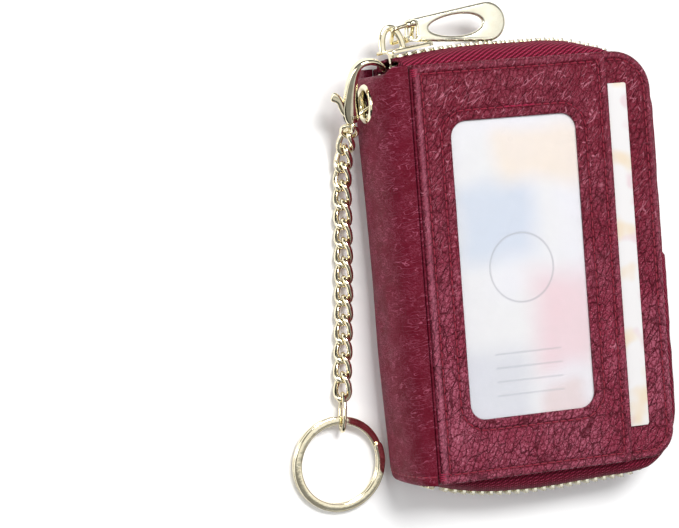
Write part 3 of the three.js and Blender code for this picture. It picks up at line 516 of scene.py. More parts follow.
@dataclass(frozen=True)
class PrintedCard(Finish):
    """A white card printed with soft pastel patches and a thin ring, the builder's own design.

    A patch is its left, low, right and high sides, its blur, its strength and its ink.
    """

    name: str = "printed_card"
    slot: str = "card"
    paper: Colour = dye(224, 222, 222)
    cool_paper: Colour = dye(226, 224, 230)
    patches: tuple = (
        (-18.0, 8.0, 2.0, 26.0, 4.0, 0.75, dye(172, 190, 214)),
        (0.0, -20.0, 18.0, 4.0, 5.0, 0.7, dye(226, 168, 178)),
        (-26.0, -36.0, -2.0, -14.0, 4.0, 0.7, dye(186, 188, 200)),
        (-6.0, 26.0, 20.0, 40.0, 4.0, 0.7, dye(238, 212, 178)),
        (2.0, -44.0, 14.0, -24.0, 3.0, 0.55, dye(206, 150, 138)),
    )
    strip_paper: Colour = dye(226, 224, 224)
    strip_warm: Colour = dye(224, 202, 166)
    strip_rose: Colour = dye(214, 178, 186)
    ring_ink: Colour = dye(120, 118, 130)
    line_ink: Colour = dye(110, 112, 126)

    def sockets(self, pot: DyePot, here: Wire) -> dict[str, Wire | float | Colour]:
        """Patches, a strip along the slot, a ring and four short lines."""
        x, y, _ = pot.parts(here)
        soft_x, soft_y, _ = pot.parts(pot.strayed(here, 0.05, 9.0))

        def between(place: Wire, low: float, high: float, blur: float) -> Wire:
            """An amount that is 1 between two places, with soft ends."""
            return place.eased(low - blur, low + blur) * (1 - place.eased(high - blur, high + blur))

        strip = pot.coated(
            self.strip_paper, (pot.cloud(here, 0.09).eased(0.5, 0.66) * 0.7, self.strip_warm),
            (pot.cloud(here, 0.13, 1.0).eased(0.58, 0.7) * 0.5, self.strip_rose))
        ring = (((x + 6.0) ** 2 + (y - 1.0) ** 2) ** 0.5 - 8.5).size()
        lines = (y + 24.0).swing(3.4).eased(0.82, 0.95)
        window = between(x, -14.8, 3.2, 0.2) * between(y, -30.9, -16.9, 0.1)
        body = pot.coated(
            self.paper, (pot.cloud(here, 0.035).eased(0.42, 0.62), self.cool_paper),
            *((between(soft_x, left, right, blur) * between(soft_y, low, high, blur) * strength,
               ink)
              for left, low, right, high, blur, strength, ink in self.patches),
            (x.eased(17.5, 19.5), strip), ((1 - ring.eased(0.18, 0.36)) * 0.5, self.ring_ink),
            (lines * window * 0.35, self.line_ink))
        return {"Base_Color": body, "Roughness": 0.42, "Coat_Weight": 0.25, "Coat_Roughness": 0.2,
                "Normal": pot.bumped((pot.cloud(here, 6.0), 0.01, 1.0))}


@dataclass(frozen=True)
class GreyBoard(Finish):
    """Pulp board inside the covers."""

    name: str = "pulp_board"
    slot: str = "board"

    def sockets(self, pot: DyePot, here: Wire) -> dict[str, Wire | float | Colour]:
        """Flecks from a cloud."""
        fleck = pot.cloud(here, 2.2, 3.0)
        return {"Base_Color": pot.mix(fleck, dye(128, 118, 102), dye(172, 162, 142)),
                "Roughness": 0.9, "Normal": pot.bumped((fleck, 0.05, 1.0))}


@dataclass(frozen=True)
class NylonCoil(Finish):
    """Black nylon coil with a soft shine."""

    name: str = "coil_nylon"
    slot: str = "nylon_coil"

    def sockets(self, pot: DyePot, here: Wire) -> dict[str, Wire | float | Colour]:
        """The turns from a wave along the coil."""
        _, y, _ = pot.parts(here)
        turns = y.wave(0.9)
        return {"Base_Color": pot.mix(turns, dye(16, 16, 18), dye(52, 50, 54)), "Roughness": 0.38,
                "Normal": pot.bumped((turns, 0.06, 1.0))}


class Ware(Enum):
    """The finishes in the wallet."""

    PANEL = GrainedLeather("panel_grain", "cover_leather")
    COVER = GrainedLeather("cover_grain", "cover_leather", pebble=1.15, fold_turn=52.0)
    SPINE = SmoothLeather()
    TAPE = TwillTape("twill_tape", "zip_tape")
    COIN_TAPE = TwillTape("coin_tape", "zip_tape", dye(34, 33, 37), dye(12, 12, 14),
                          dye(58, 57, 62))
    THREAD = SewingThread("wine_thread", "cover_leather", dye(172, 4, 56), dye(84, 0, 26))
    TACK = SewingThread("bright_thread", "cover_leather", dye(196, 10, 76), dye(104, 0, 36))
    GOLD = PaleGold("pale_gold")
    SATIN_GOLD = PaleGold("satin_gold", base=dye(240, 236, 216), deep=dye(230, 222, 196),
                          rough=0.22)
    LINING = LiningCloth()
    FILM = ClearFilm()
    CARD = PrintedCard()
    BOARD = GreyBoard()
    COIL = NylonCoil()

    def material(self) -> bpy.types.Material:
        """The finish's material, mixed the first time that it is asked for."""
        return bpy.data.materials.get(self.value.name) or self.value.mixed()


# ---------------------------------------------------------------- shaping


def skin(rings: Sequence[Ring], closed: bool = True, caps: bool = True, loop: bool = False,
         into: bmesh.types.BMesh | None = None,
         lays: Sequence[Ring] | None = None) -> bmesh.types.BMesh:
    """Extrudes a first ring of edges through the places of the next ones.

    Args:
        rings: the rings in order, each with the same count of points.
        closed: whether each ring is a closed loop.
        caps: whether the first and last rings are filled.
        loop: whether the last ring joins the first.
        into: the mesh that takes the skin, if not a new one.
        lays: for each point its place along and across, for a pattern that follows the skin.

    Returns:
        The mesh with the skin in it.
    """
    bm = into or bmesh.new()
    layers = bm.verts.layers.float_vector
    layer = (layers.get(LAY) or layers.new(LAY)) if lays else None
    count = len(rings[0])
    row = [bm.verts.new(point) for point in rings[0]]
    made = list(row)
    span = count if closed else count - 1
    first_edges = edges = [bm.edges.new((row[i], row[(i + 1) % count])) for i in range(span)]

    def tag(index: int) -> None:
        """Keeps a ring's places along and across on its points."""
        if layer is not None:
            for vert, lay in zip(row, lays[index % len(lays)]):
                vert[layer] = lay

    tag(0)
    follow = list(rings[1:]) + ([rings[0]] if loop else [])
    for index, ring in enumerate(follow, 1):
        out = bmesh.ops.extrude_edge_only(bm, edges=edges)["geom"]
        fresh = {item for item in out if isinstance(item, bmesh.types.BMVert)}
        row = [next(e.other_vert(v) for e in v.link_edges if e.other_vert(v) in fresh) for v in row]
        for vert, point in zip(row, ring):
            vert.co = point
        tag(index)
        made += row
        pairs = zip(row, row[1:] + row[:1]) if closed else zip(row, row[1:])
        edges = [next(e for e in a.link_edges if e.other_vert(a) is b) for a, b in pairs]
    if loop:
        bmesh.ops.remove_doubles(bm, verts=made, dist=1e-5)
    elif caps and closed:
        for rim in (first_edges, edges):
            bmesh.ops.contextual_create(bm, geom=rim)
    return bm


@dataclass(frozen=True)
class Outline:
    """A rectangle in plan with a radius at each corner and a fixed count of points.

    The radii go anticlockwise from the corner at (x1, y0).
    """

    x0: float
    x1: float
    y0: float
    y1: float
    radii: tuple[float, float, float, float]
    across: int = 60
    along: int = 100
    bend: int = 10
    least_radius: float = 0.25

    def ring(self, inset: float, height: float) -> Ring:
        """The outline drawn in by inset, at a height.

        Args:
            inset: how far each side moves in.
            height: the Z of its points.

        Returns:
            Its points, anticlockwise.
        """
        x0, x1, y0, y1 = self.x0 + inset, self.x1 - inset, self.y0 + inset, self.y1 - inset
        radii = [max(radius - inset, self.least_radius) for radius in self.radii]
        middles = [
            (x1 - radii[0], y0 + radii[0]), (x1 - radii[1], y1 - radii[1]),
            (x0 + radii[2], y1 - radii[2]), (x0 + radii[3], y0 + radii[3]),
        ]
        quarter = math.pi / 2

        def on_corner(k: int, share: float) -> Vector:
            """A point a share of the way round a corner."""
            turn = quarter * (k - 1 + share)
            return Vector((middles[k][0] + radii[k] * math.cos(turn),
                           middles[k][1] + radii[k] * math.sin(turn), height))

        points: Ring = []
        for k in range(4):
            points += [on_corner(k, j / self.bend) for j in range(self.bend + 1)]
            start, end = points[-1], on_corner((k + 1) % 4, 0.0)
            steps = self.across if k % 2 else self.along
            points += [start.lerp(end, j / steps) for j in range(1, steps)]
        return points


def rounded_slab(outline: Outline, low: float, high: float, edge: float, step: float = 2.0,
                 lift: Callable[[Vector], float] | None = None) -> bmesh.types.BMesh:
    """A flat piece with rounded edges and a fine field that can be lifted out of flat.

    Args:
        outline: its outline in plan.
        low, high: its two faces.
        edge: the radius of its edges.
        step: the spacing of the rings in the field.
        lift: how far a point is raised.

    Returns:
        The mesh.
    """
    reach = min(outline.x1 - outline.x0, outline.y1 - outline.y0) / 2 - 0.3
    edge = min(edge, (high - low) / 2)
    field_steps = max(int((reach - edge) / step), 1)
    field = [blend_value(edge, reach, i / field_steps) for i in range(field_steps + 1)]
    turns = [math.pi / 8 * i for i in range(1, 4)]
    under = [(edge * (1 - math.sin(t)), low + edge * (1 - math.cos(t))) for t in turns]
    over = [(edge * (1 - math.cos(t)), high - edge * (1 - math.sin(t))) for t in turns]
    profile = [(inset, low) for inset in reversed(field)]
    profile += under + [(0.0, low + edge), (0.0, high - edge)] + over
    profile += [(inset, high) for inset in field]
    rings = [outline.ring(inset, height) for inset, height in profile]
    if lift:
        for ring in rings:
            for point in ring:
                point.z += lift(point)
    return skin(rings)


def offset_loop(loop: Ring, inward: float) -> Ring:
    """A closed loop in X and Y drawn in to its left by a distance.

    Args:
        loop: its points; anticlockwise ones go inwards, clockwise ones outwards.
        inward: the distance.

    Returns:
        The new loop, with the same count.
    """
    moved = []
    count = len(loop)
    for i, point in enumerate(loop):
        before = (point - loop[i - 1]).xy.normalized()
        after = (loop[(i + 1) % count] - point).xy.normalized()
        normal = Vector((-(before.y + after.y), before.x + after.x))
        reach = normal.length / 2
        normal.normalize()
        step = (normal * (inward / max(reach, 0.5))).to_3d()
        moved.append(Vector((point.x, point.y, point.z)) + step)
    return moved


def pierced_plate(outline: Ring, holes: Sequence[Ring], thickness: float, edge: float,
                  soft: bool = False) -> bmesh.types.BMesh:
    """A flat plate about Z = 0 with rounded rims, also round its holes.

    Args:
        outline: the outer loop, anticlockwise.
        holes: the hole loops, clockwise.
        thickness: its thickness.
        edge: the radius of the rims.
        soft: whether the rims slope gently inwards, as a pressed plate's do.

    Returns:
        The mesh.
    """
    bm = bmesh.new()
    half = thickness / 2
    turns = [math.pi / 8 * i for i in range(5)]
    profile = [(edge * (1 - math.sin(t)), -half + edge * (1 - math.cos(t))) for t in turns]
    profile += [(edge * (1 - math.cos(t)), half - edge * (1 - math.sin(t))) for t in turns]
    if soft:
        profile = [(inset * 1.5, height) for inset, height in profile]
    for loop in (outline, *holes):
        rings = []
        for inset, height in profile:
            ring = offset_loop(loop, inset)
            for point in ring:
                point.z = height
            rings.append(ring)
        skin(rings, caps=False, into=bm)
    for height in (-half, half):
        rim = [e for e in bm.edges
               if e.is_boundary and all(abs(v.co.z - height) < 1e-6 for v in e.verts)]
        bmesh.ops.triangle_fill(bm, use_beauty=True, use_dissolve=True, edges=rim)
    return bm


def arc(x: float, y: float, radius: float, first: float, sweep: float, steps: int) -> Ring:
    """Points in plan about (x, y), from the turn first on through a sweep."""
    turns = [first + sweep * j / steps for j in range(steps + 1)]
    return [Vector((x + radius * math.cos(t), y + radius * math.sin(t), 0.0)) for t in turns]


def swept(path: Sequence[Vector], section: Callable[[int], Sequence[tuple[float, float]]],
          up: Vector, loop: bool = False,
          into: bmesh.types.BMesh | None = None) -> bmesh.types.BMesh:
    """A section carried along a path without twisting.

    Args:
        path: the path's points.
        section: for each point's number, the section as pairs across and up.
        up: a direction that the section's up leans towards.
        loop: whether the path is closed.
        into: the mesh that takes it, if not a new one.

    Returns:
        The mesh with the bar in it.
    """
    rings = []
    count = len(path)
    for i, point in enumerate(path):
        ahead = path[(i + 1) % count] if loop or i < count - 1 else path[i]
        behind = path[i - 1] if loop or i else path[i]
        along = (ahead - behind).normalized()
        across = up.cross(along).normalized()
        high = along.cross(across)
        rings.append([point + across * a + high * b for a, b in section(i)])
    return skin(rings, loop=loop, into=into)


def oval_section(half_across: float, half_up: float, count: int = 12,
                 power: float = 2.0) -> list[tuple[float, float]]:
    """A section between an ellipse at power 2 and a rounded rectangle at a higher power."""
    points = []
    for i in range(count):
        turn = math.tau * (i + 0.5) / count
        c, s = math.cos(turn), math.sin(turn)
        points.append((half_across * math.copysign(abs(c) ** (2 / power), c),
                       half_up * math.copysign(abs(s) ** (2 / power), s)))
    return points


def curve_through(stops: Sequence[Sequence[float]], steps: int) -> list[list[float]]:
    """Points on a smooth curve through stops of any size.

    Args:
        stops: the places that it passes.
        steps: the steps between one stop and the next.

    Returns:
        The points, each with the parts that a stop has.
    """
    points = []
    last = len(stops) - 1
    for i in range(last):
        p0, p1, p2, p3 = stops[max(i - 1, 0)], stops[i], stops[i + 1], stops[min(i + 2, last)]
        for j in range(steps + (i == last - 1)):
            t = j / steps
            points.append([
                0.5 * (2 * b + (c - a) * t + (2 * a - 5 * b + 4 * c - d) * t * t
                       + (3 * b - a - 3 * c + d) * t ** 3)
                for a, b, c, d in zip(p0, p1, p2, p3)
            ])
    return points


def put(bm: bmesh.types.BMesh, place: Matrix) -> bmesh.types.BMesh:
    """Moves a mesh to a place and gives it back."""
    bmesh.ops.transform(bm, matrix=place, verts=bm.verts)
    return bm


def turn_about(axis: str, degrees: float) -> Matrix:
    """A turn about an axis."""
    return Matrix.Rotation(math.radians(degrees), 4, axis)


def softened(bm: bmesh.types.BMesh, offset: float, segments: int, profile: float = 0.5,
             edges: Sequence[bmesh.types.BMEdge] | None = None) -> bmesh.types.BMesh:
    """Rounds a mesh's edges, or only some of them, and gives it back."""
    bmesh.ops.bevel(bm, geom=edges or list(bm.edges), offset=offset, segments=segments,
                    profile=profile, affect="EDGES", material=-1)
    return bm


def peg(radius: float, depth: float, segments: int) -> bmesh.types.BMesh:
    """A round bar along Z, about the origin."""
    bm = bmesh.new()
    bmesh.ops.create_cone(bm, cap_ends=True, segments=segments, radius1=radius, radius2=radius,
                          depth=depth)
    return bm


def stamp(bm: bmesh.types.BMesh, die: bpy.types.Mesh, place: Matrix) -> None:
    """Adds a copy of a small mesh at a place."""
    before = len(bm.verts)
    bm.from_mesh(die)
    bm.verts.ensure_lookup_table()
    bmesh.ops.transform(bm, matrix=place, verts=bm.verts[before:])


def die_from(bm: bmesh.types.BMesh, name: str = "die") -> bpy.types.Mesh:
    """A small mesh to stamp copies from."""
    bmesh.ops.recalc_face_normals(bm, faces=bm.faces)
    mesh = bpy.data.meshes.new(name)
    bm.to_mesh(mesh)
    bm.free()
    return mesh


def joined(bm: bmesh.types.BMesh, *others: bmesh.types.BMesh) -> bmesh.types.BMesh:
    """A mesh with others added to it."""
    for other in others:
        stamp(bm, die_from(other), Matrix.Identity(4))
    return bm


def placing(point: Vector, *axes: Vector) -> Matrix:
    """A placing at a point with the three axes given."""
    return Matrix.Translation(point) @ Matrix(axes).transposed().to_4x4()


def frame_at(point: Vector, along: Vector, up: Vector) -> Matrix:
    """A placing whose X runs along a direction and whose Z leans towards up."""
    along = along.normalized()
    side = up.cross(along).normalized()
    return placing(point, along, side, along.cross(side))


def carved(bm: bmesh.types.BMesh, *tools: bmesh.types.BMesh) -> bmesh.types.BMesh:
    """A closed mesh with closed tools cut out of it."""
    def as_object(source: bmesh.types.BMesh) -> bpy.types.Object:
        """The mesh as an object for a modifier."""
        made = bpy.data.objects.new("blank", die_from(source, "blank"))
        bpy.context.scene.collection.objects.link(made)
        return made

    body = as_object(bm)
    cutters = [as_object(tool) for tool in tools]
    for cutter in cutters:
        change = body.modifiers.new("cut", "BOOLEAN")
        change.operation = "DIFFERENCE"
        change.solver = "EXACT"
        change.object = cutter
    result = bmesh.new()
    result.from_object(body, bpy.context.evaluated_depsgraph_get())
    for made in (body, *cutters):
        bpy.data.objects.remove(made)
    return result


def box_tool(low: Sequence[float], high: Sequence[float]) -> bmesh.types.BMesh:
    """A box to cut with, between two corners."""
    bm = bmesh.new()
    bmesh.ops.create_cube(bm, size=1.0)
    bmesh.ops.scale(bm, vec=[b - a for a, b in zip(low, high)], verts=bm.verts)
    bmesh.ops.translate(bm, vec=[(a + b) / 2 for a, b in zip(low, high)], verts=bm.verts)
    return bm


def finished(name: str, bm: bmesh.types.BMesh, ware: Ware, body: str | None,
             nodes: Iterable[str] = (), sharp: float = 38.0) -> bpy.types.Object:
    """Makes a piece of a mesh, dresses it, and seats it on its CAD body.

    Args:
        name: the piece's name.
        bm: its mesh, in millimetres in the row frame.
        ware: its finish.
        body: the CAD body that it rides on, or None, where it rides on none.
        nodes: the CAD nodes that it stands for.
        sharp: edges that turn more than this many degrees stay crisp.

    Returns:
        The piece.
    """
    bmesh.ops.recalc_face_normals(bm, faces=bm.faces)
    bmesh.ops.scale(bm, vec=(MM, MM, MM), verts=bm.verts)
    for face in bm.faces:
        face.smooth = True
    for edge in bm.edges:
        if len(edge.link_faces) == 2 and edge.calc_face_angle(0.0) > math.radians(sharp):
            edge.smooth = False
    mesh = bpy.data.meshes.new(name)
    bm.to_mesh(mesh)
    bm.free()
    piece = bpy.data.objects.new(name, mesh)
    bpy.context.scene.collection.objects.link(piece)
    mesh.materials.append(ware.material())
    if body:
        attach(piece, body)
    if nodes:
        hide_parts(*nodes)
    log.info("%s: %d faces, rides on %s", name, len(mesh.polygons), body or "two bodies")
    return piece


@dataclass(frozen=True)
class Stitch:
    """A kind of stitch: from hole to hole, its thread, how far its ends dip and its back rises."""

    pitch: float = 2.1
    thread: float = 0.42
    sink: float = 0.264
    rise: float = 0.084
    fill: float = 0.84
    taper: tuple[float, ...] = (0.55, 0.95, 1.0, 1.0, 1.0, 0.95, 0.55)

    def die(self) -> bpy.types.Mesh:
        """One stitch, its length along X."""
        last = len(self.taper) - 1
        arch = [Vector((self.pitch * self.fill * (i / last - 0.5), 0.0,
                        self.rise - self.sink * abs(2 * i / last - 1) ** 3))
                for i in range(last + 1)]
        thick = [self.thread / 2 * share for share in self.taper]
        return die_from(swept(arch, lambda i: oval_section(thick[i], thick[i], 6), UP))

    def sew(self, path: Sequence[Vector], into: bmesh.types.BMesh | None = None,
            middle: Vector | None = None) -> bmesh.types.BMesh:
        """Lays stitches along a seam.

        Args:
            path: the seam, on the leather's face.
            into: the mesh that takes them, if not a new one.
            middle: the place in X and Z that they face away from, if they don't face up.

        Returns:
            The mesh with the stitches in it.
        """
        bm = into or bmesh.new()
        die = self.die()
        left = self.pitch / 2
        for start, end in zip(path, path[1:]):
            run = (end - start).length
            while left < run:
                point = start.lerp(end, left / run)
                up = Vector((point.x - middle.x, 0.0, point.z - middle.z)) if middle else UP
                stamp(bm, die, frame_at(point, end - start, up))
                left += self.pitch
            left -= run
        return bm


# ---------------------------------------------------------------- the wallet's shared plan


@dataclass(frozen=True)
class Wallet:
    """Sizes that several sub-assemblies share."""

    crease_x: float = -32.25
    fore_x: float = 32.25
    half_length: float = 50.0
    low_y: float = -50.0
    high_y: float = 52.1
    corner: float = 11.0
    thickness: float = 25.0
    front_inside: float = 20.4
    front_top: float = 22.9
    back_inside: float = 2.5
    zip_height: float = 11.45
    slot_x: float = 20.4
    eyelet: Vector = field(default_factory=lambda: Vector((-38.75, 43.6, 12.3)))


WALLET = Wallet()


@dataclass(frozen=True)
class Seat:
    """Where the zip stands in plan: its line, its outward way and the rail it is sewn to."""

    line: Vector
    out: Vector
    rail: Vector


@dataclass
class ZipPlan:
    """The zip's line in plan, from its top spine end round the fore edge to its bottom one."""

    top_crown: float = 5.9
    top_radius: float = 150.0
    bottom_crown: float = 5.0
    bottom_radius: float = 250.0
    apex_from_crease: float = 25.0
    fore_bulge: float = 4.1
    end_draw: float = 0.86
    top_swell: float = 0.95
    low_swell: float = 0.8
    end_run: float = 9.5
    end_from_crease: float = 0.4
    sew_inset: float = 0.6

    def __post_init__(self) -> None:
        """Works out the stretches once."""
        self.apex_x = WALLET.crease_x + self.apex_from_crease
        self.top = self.half(1)
        self.bottom = self.half(-1)
        high, low = self.top["bend_middle"].y, -self.bottom["bend_middle"].y
        self.lengths = [self.top["run"], self.top["bend"], high - low, self.bottom["bend"],
                        self.bottom["run"]]
        self.fore = (high, low)
        self.length = sum(self.lengths)

    def half(self, side: int) -> dict:
        """The radii, middles, turns and lengths of the top half (side 1) or the bottom one (-1)."""
        crown = self.top_crown if side > 0 else self.bottom_crown
        radius = self.top_radius if side > 0 else self.bottom_radius
        middle = Vector((self.apex_x, WALLET.half_length + crown - radius))
        first = math.asin((WALLET.crease_x + self.end_from_crease - self.apex_x) / radius)
        corner = math.asin((WALLET.fore_x - WALLET.corner - self.apex_x) / radius)
        corner_x = self.apex_x + radius * math.sin(corner)
        bend_radius = (WALLET.fore_x + self.fore_bulge - corner_x) / (1 - math.sin(corner))
        bend_middle = Vector((WALLET.fore_x + self.fore_bulge - bend_radius,
                              middle.y + (radius - bend_radius) * math.cos(corner)))
        return {"side": side, "radius": radius, "middle": middle, "first": first, "corner": corner,
                "bend_radius": bend_radius, "bend_middle": bend_middle,
                "run": radius * (corner - first), "bend": bend_radius * (math.pi / 2 - corner)}

    def rail_end(self, side: int) -> float:
        """Where the tape is sewn at the top or the bottom edge."""
        return WALLET.high_y - self.sew_inset if side > 0 else WALLET.low_y + self.sew_inset

    def on_run(self, half: dict, share: float) -> Seat:
        """A place on a long run."""
        turn = blend_value(half["first"], half["corner"], share)
        start, end = WALLET.crease_x + self.end_from_crease, WALLET.fore_x - WALLET.corner
        rail = Vector((blend_value(start, end, share), self.rail_end(half["side"])))
        return self.on_arc(half, half["middle"], half["radius"], turn, rail)

    def on_bend(self, half: dict, share: float) -> Seat:
        """A place on a corner."""
        turn = blend_value(half["corner"], math.pi / 2, share)
        reach = WALLET.corner - self.sew_inset
        around = share * math.pi / 2
        middle_y = self.rail_end(half["side"]) - half["side"] * reach
        rail = Vector((WALLET.fore_x - WALLET.corner + reach * math.sin(around),
                       middle_y + half["side"] * reach * math.cos(around)))
        return self.on_arc(half, half["bend_middle"], half["bend_radius"], turn, rail)

    @staticmethod
    def on_arc(half: dict, middle: Vector, radius: float, turn: float, rail: Vector) -> Seat:
        """A place on an arc of the top or the bottom half."""
        side = half["side"]
        line = Vector((middle.x + radius * math.sin(turn),
                       side * (middle.y + radius * math.cos(turn))))
        return Seat(line, Vector((math.sin(turn), side * math.cos(turn))), rail)

    def at(self, distance: float) -> Seat:
        """The place at a distance from the top spine end, drawn in towards the bottom spine end."""
        here, ahead, behind = (self.drawn(distance + step) for step in (0.0, 0.05, -0.05))
        way = (ahead.line - behind.line).normalized()
        return Seat(here.line, Vector((-way.y, way.x)), here.rail)

    def drawn(self, distance: float) -> Seat:
        """The zip's line with its bottom end drawn in to the rail."""
        seat = self.plain(distance)
        share = 1 - self.end_draw * math.exp(-max(self.length - distance, 0.0) / self.end_run)
        if seat.line.y > 0:
            swell = self.top_swell * bell(seat.line.x, 12.5, 9.0)
        else:
            swell = self.low_swell * bell(seat.line.x, 27.0, 9.0)
        return Seat(seat.rail.lerp(seat.line, share) + seat.out * swell, seat.out, seat.rail)

    def on_fore(self, share: float) -> Seat:
        """A place on the fore edge."""
        reach = WALLET.corner - self.sew_inset
        ends = (self.rail_end(1) - reach, self.rail_end(-1) + reach)
        return Seat(Vector((WALLET.fore_x + self.fore_bulge, blend_value(*self.fore, share))),
                    Vector((1.0, 0.0)),
                    Vector((WALLET.fore_x - self.sew_inset, blend_value(*ends, share))))

    def plain(self, distance: float) -> Seat:
        """The place on the even curve."""
        stretches = (
            lambda share: self.on_run(self.top, share), lambda share: self.on_bend(self.top, share),
            self.on_fore, lambda share: self.on_bend(self.bottom, 1 - share),
            lambda share: self.on_run(self.bottom, 1 - share),
        )
        left = min(max(distance, 0.0), self.length)
        for stretch, length in zip(stretches, self.lengths):
            if left <= length or stretch is stretches[-1]:
                return stretch(min(left / length, 1.0))
            left -= length
        raise ValueError(f"no stretch of the zip at {distance}")


ZIP = ZipPlan()


# ---------------------------------------------------------------- leather


@dataclass
class Covers:
    """Front and back covers: leather rolled over the board's edge, with a sewn groove inside it."""

    fore_roll: float = 0.95
    low_corner: float = 7.0
    high_corner: float = 10.0
    groove_inset: float = 2.0
    groove_depth: float = 0.42
    roll: float = 1.15
    shell: float = 1.25
    lip: float = 1.2
    field_end: float = 30.5
    face_depth: float = 0.6
    stitch: Stitch = Stitch(2.15)

    def outline(self) -> Outline:
        """The cover's outline in plan."""
        w = WALLET
        return Outline(w.crease_x, w.fore_x + self.fore_roll, w.low_y, w.high_y,
                       (self.low_corner, self.high_corner, 0.6, 0.6), 64, 96, 14)

    def profile(self) -> list[tuple[float, float]]:
        """Inset and depth below the outer face, from inside the shell round to its middle."""
        depth, lip, shell = WALLET.back_inside, self.lip, self.shell
        groove, deep = self.groove_inset, self.groove_depth
        edge = [(self.field_end, shell), (12.0, shell), (lip + 0.1, shell), (lip, shell + 0.15),
                (lip, depth - 0.2), (lip - 0.25, depth), (0.35, depth), (0.08, depth - 0.2),
                (0.0, depth - 0.5)]
        turns = [math.pi / 2 * i / 6 for i in range(7)]
        edge += [(self.roll * (1 - math.cos(t)), self.roll * (1 - math.sin(t))) for t in turns]
        hollow = [(-0.7, 0.02), (-0.4, 0.4 * deep), (-0.14, 0.94 * deep), (0.0, deep),
                  (0.14, 0.94 * deep), (0.4, 0.4 * deep), (0.75, 0.04), (1.1, 0.0)]
        steps = 26
        return (edge + [(groove + step, drop) for step, drop in hollow]
                + [(blend_value(groove + 1.6, self.field_end, i / steps), 0.0)
                   for i in range(steps + 1)])

    def shaped(self, face: float, inward: int, rumple: float) -> bmesh.types.BMesh:
        """One cover.

        Args:
            face: the height of its outer face.
            inward: 1 where the inside is above the face, -1 where it is below.
            rumple: how far the outer face is out of flat.

        Returns:
            The mesh.
        """
        outline = self.outline()
        rings, lays = [], []
        for inset, depth in self.profile():
            ring = outline.ring(inset, face + inward * depth)
            shown = float(depth < self.face_depth)
            # the lay layer carries painted shade along the sewn groove and a painted highlight on
            # the rolled edge
            seam = shown * bell(inset, self.groove_inset, 0.34)
            lays.append([Vector((seam, shown * 0.3 * bell(inset, 0.95, 0.4), 0.0))] * len(ring))
            for point in ring if shown else ():
                wave = abs(noise.noise(Vector((point.x * 0.06, point.y * 0.05, face)))) * rumple
                point.z += inward * wave * ease(inset, 0.5, 5.0)
            rings.append(ring)
        return skin(rings, lays=lays)

    def seam(self, face: float, inward: int) -> list[Vector]:
        """The sewn line in the groove all round, from the top crease on."""
        height = face + inward * (self.groove_depth - 0.05)
        ring = self.outline().ring(self.groove_inset, height)
        start = max(range(len(ring)), key=lambda i: ring[i].y - ring[i].x)
        return ring[start:] + ring[:start]

    def build(self) -> None:
        """Makes both covers and their stitches."""
        w = WALLET
        finished("FrontCover", self.shaped(w.front_top, -1, 0.1), Ware.COVER, "front",
                 ["front_cover"])
        finished("BackCover", self.shaped(0.0, 1, 0.22), Ware.COVER, "wallet_back", ["back_cover"])
        fore = [p for p in reversed(self.seam(w.front_top, -1)) if p.x > w.slot_x + 0.6]
        finished("CoverStitches", self.stitch.sew(fore), Ware.THREAD, "front")
        finished("BackStitches", self.stitch.sew(self.seam(0.0, 1)), Ware.THREAD, "wallet_back")


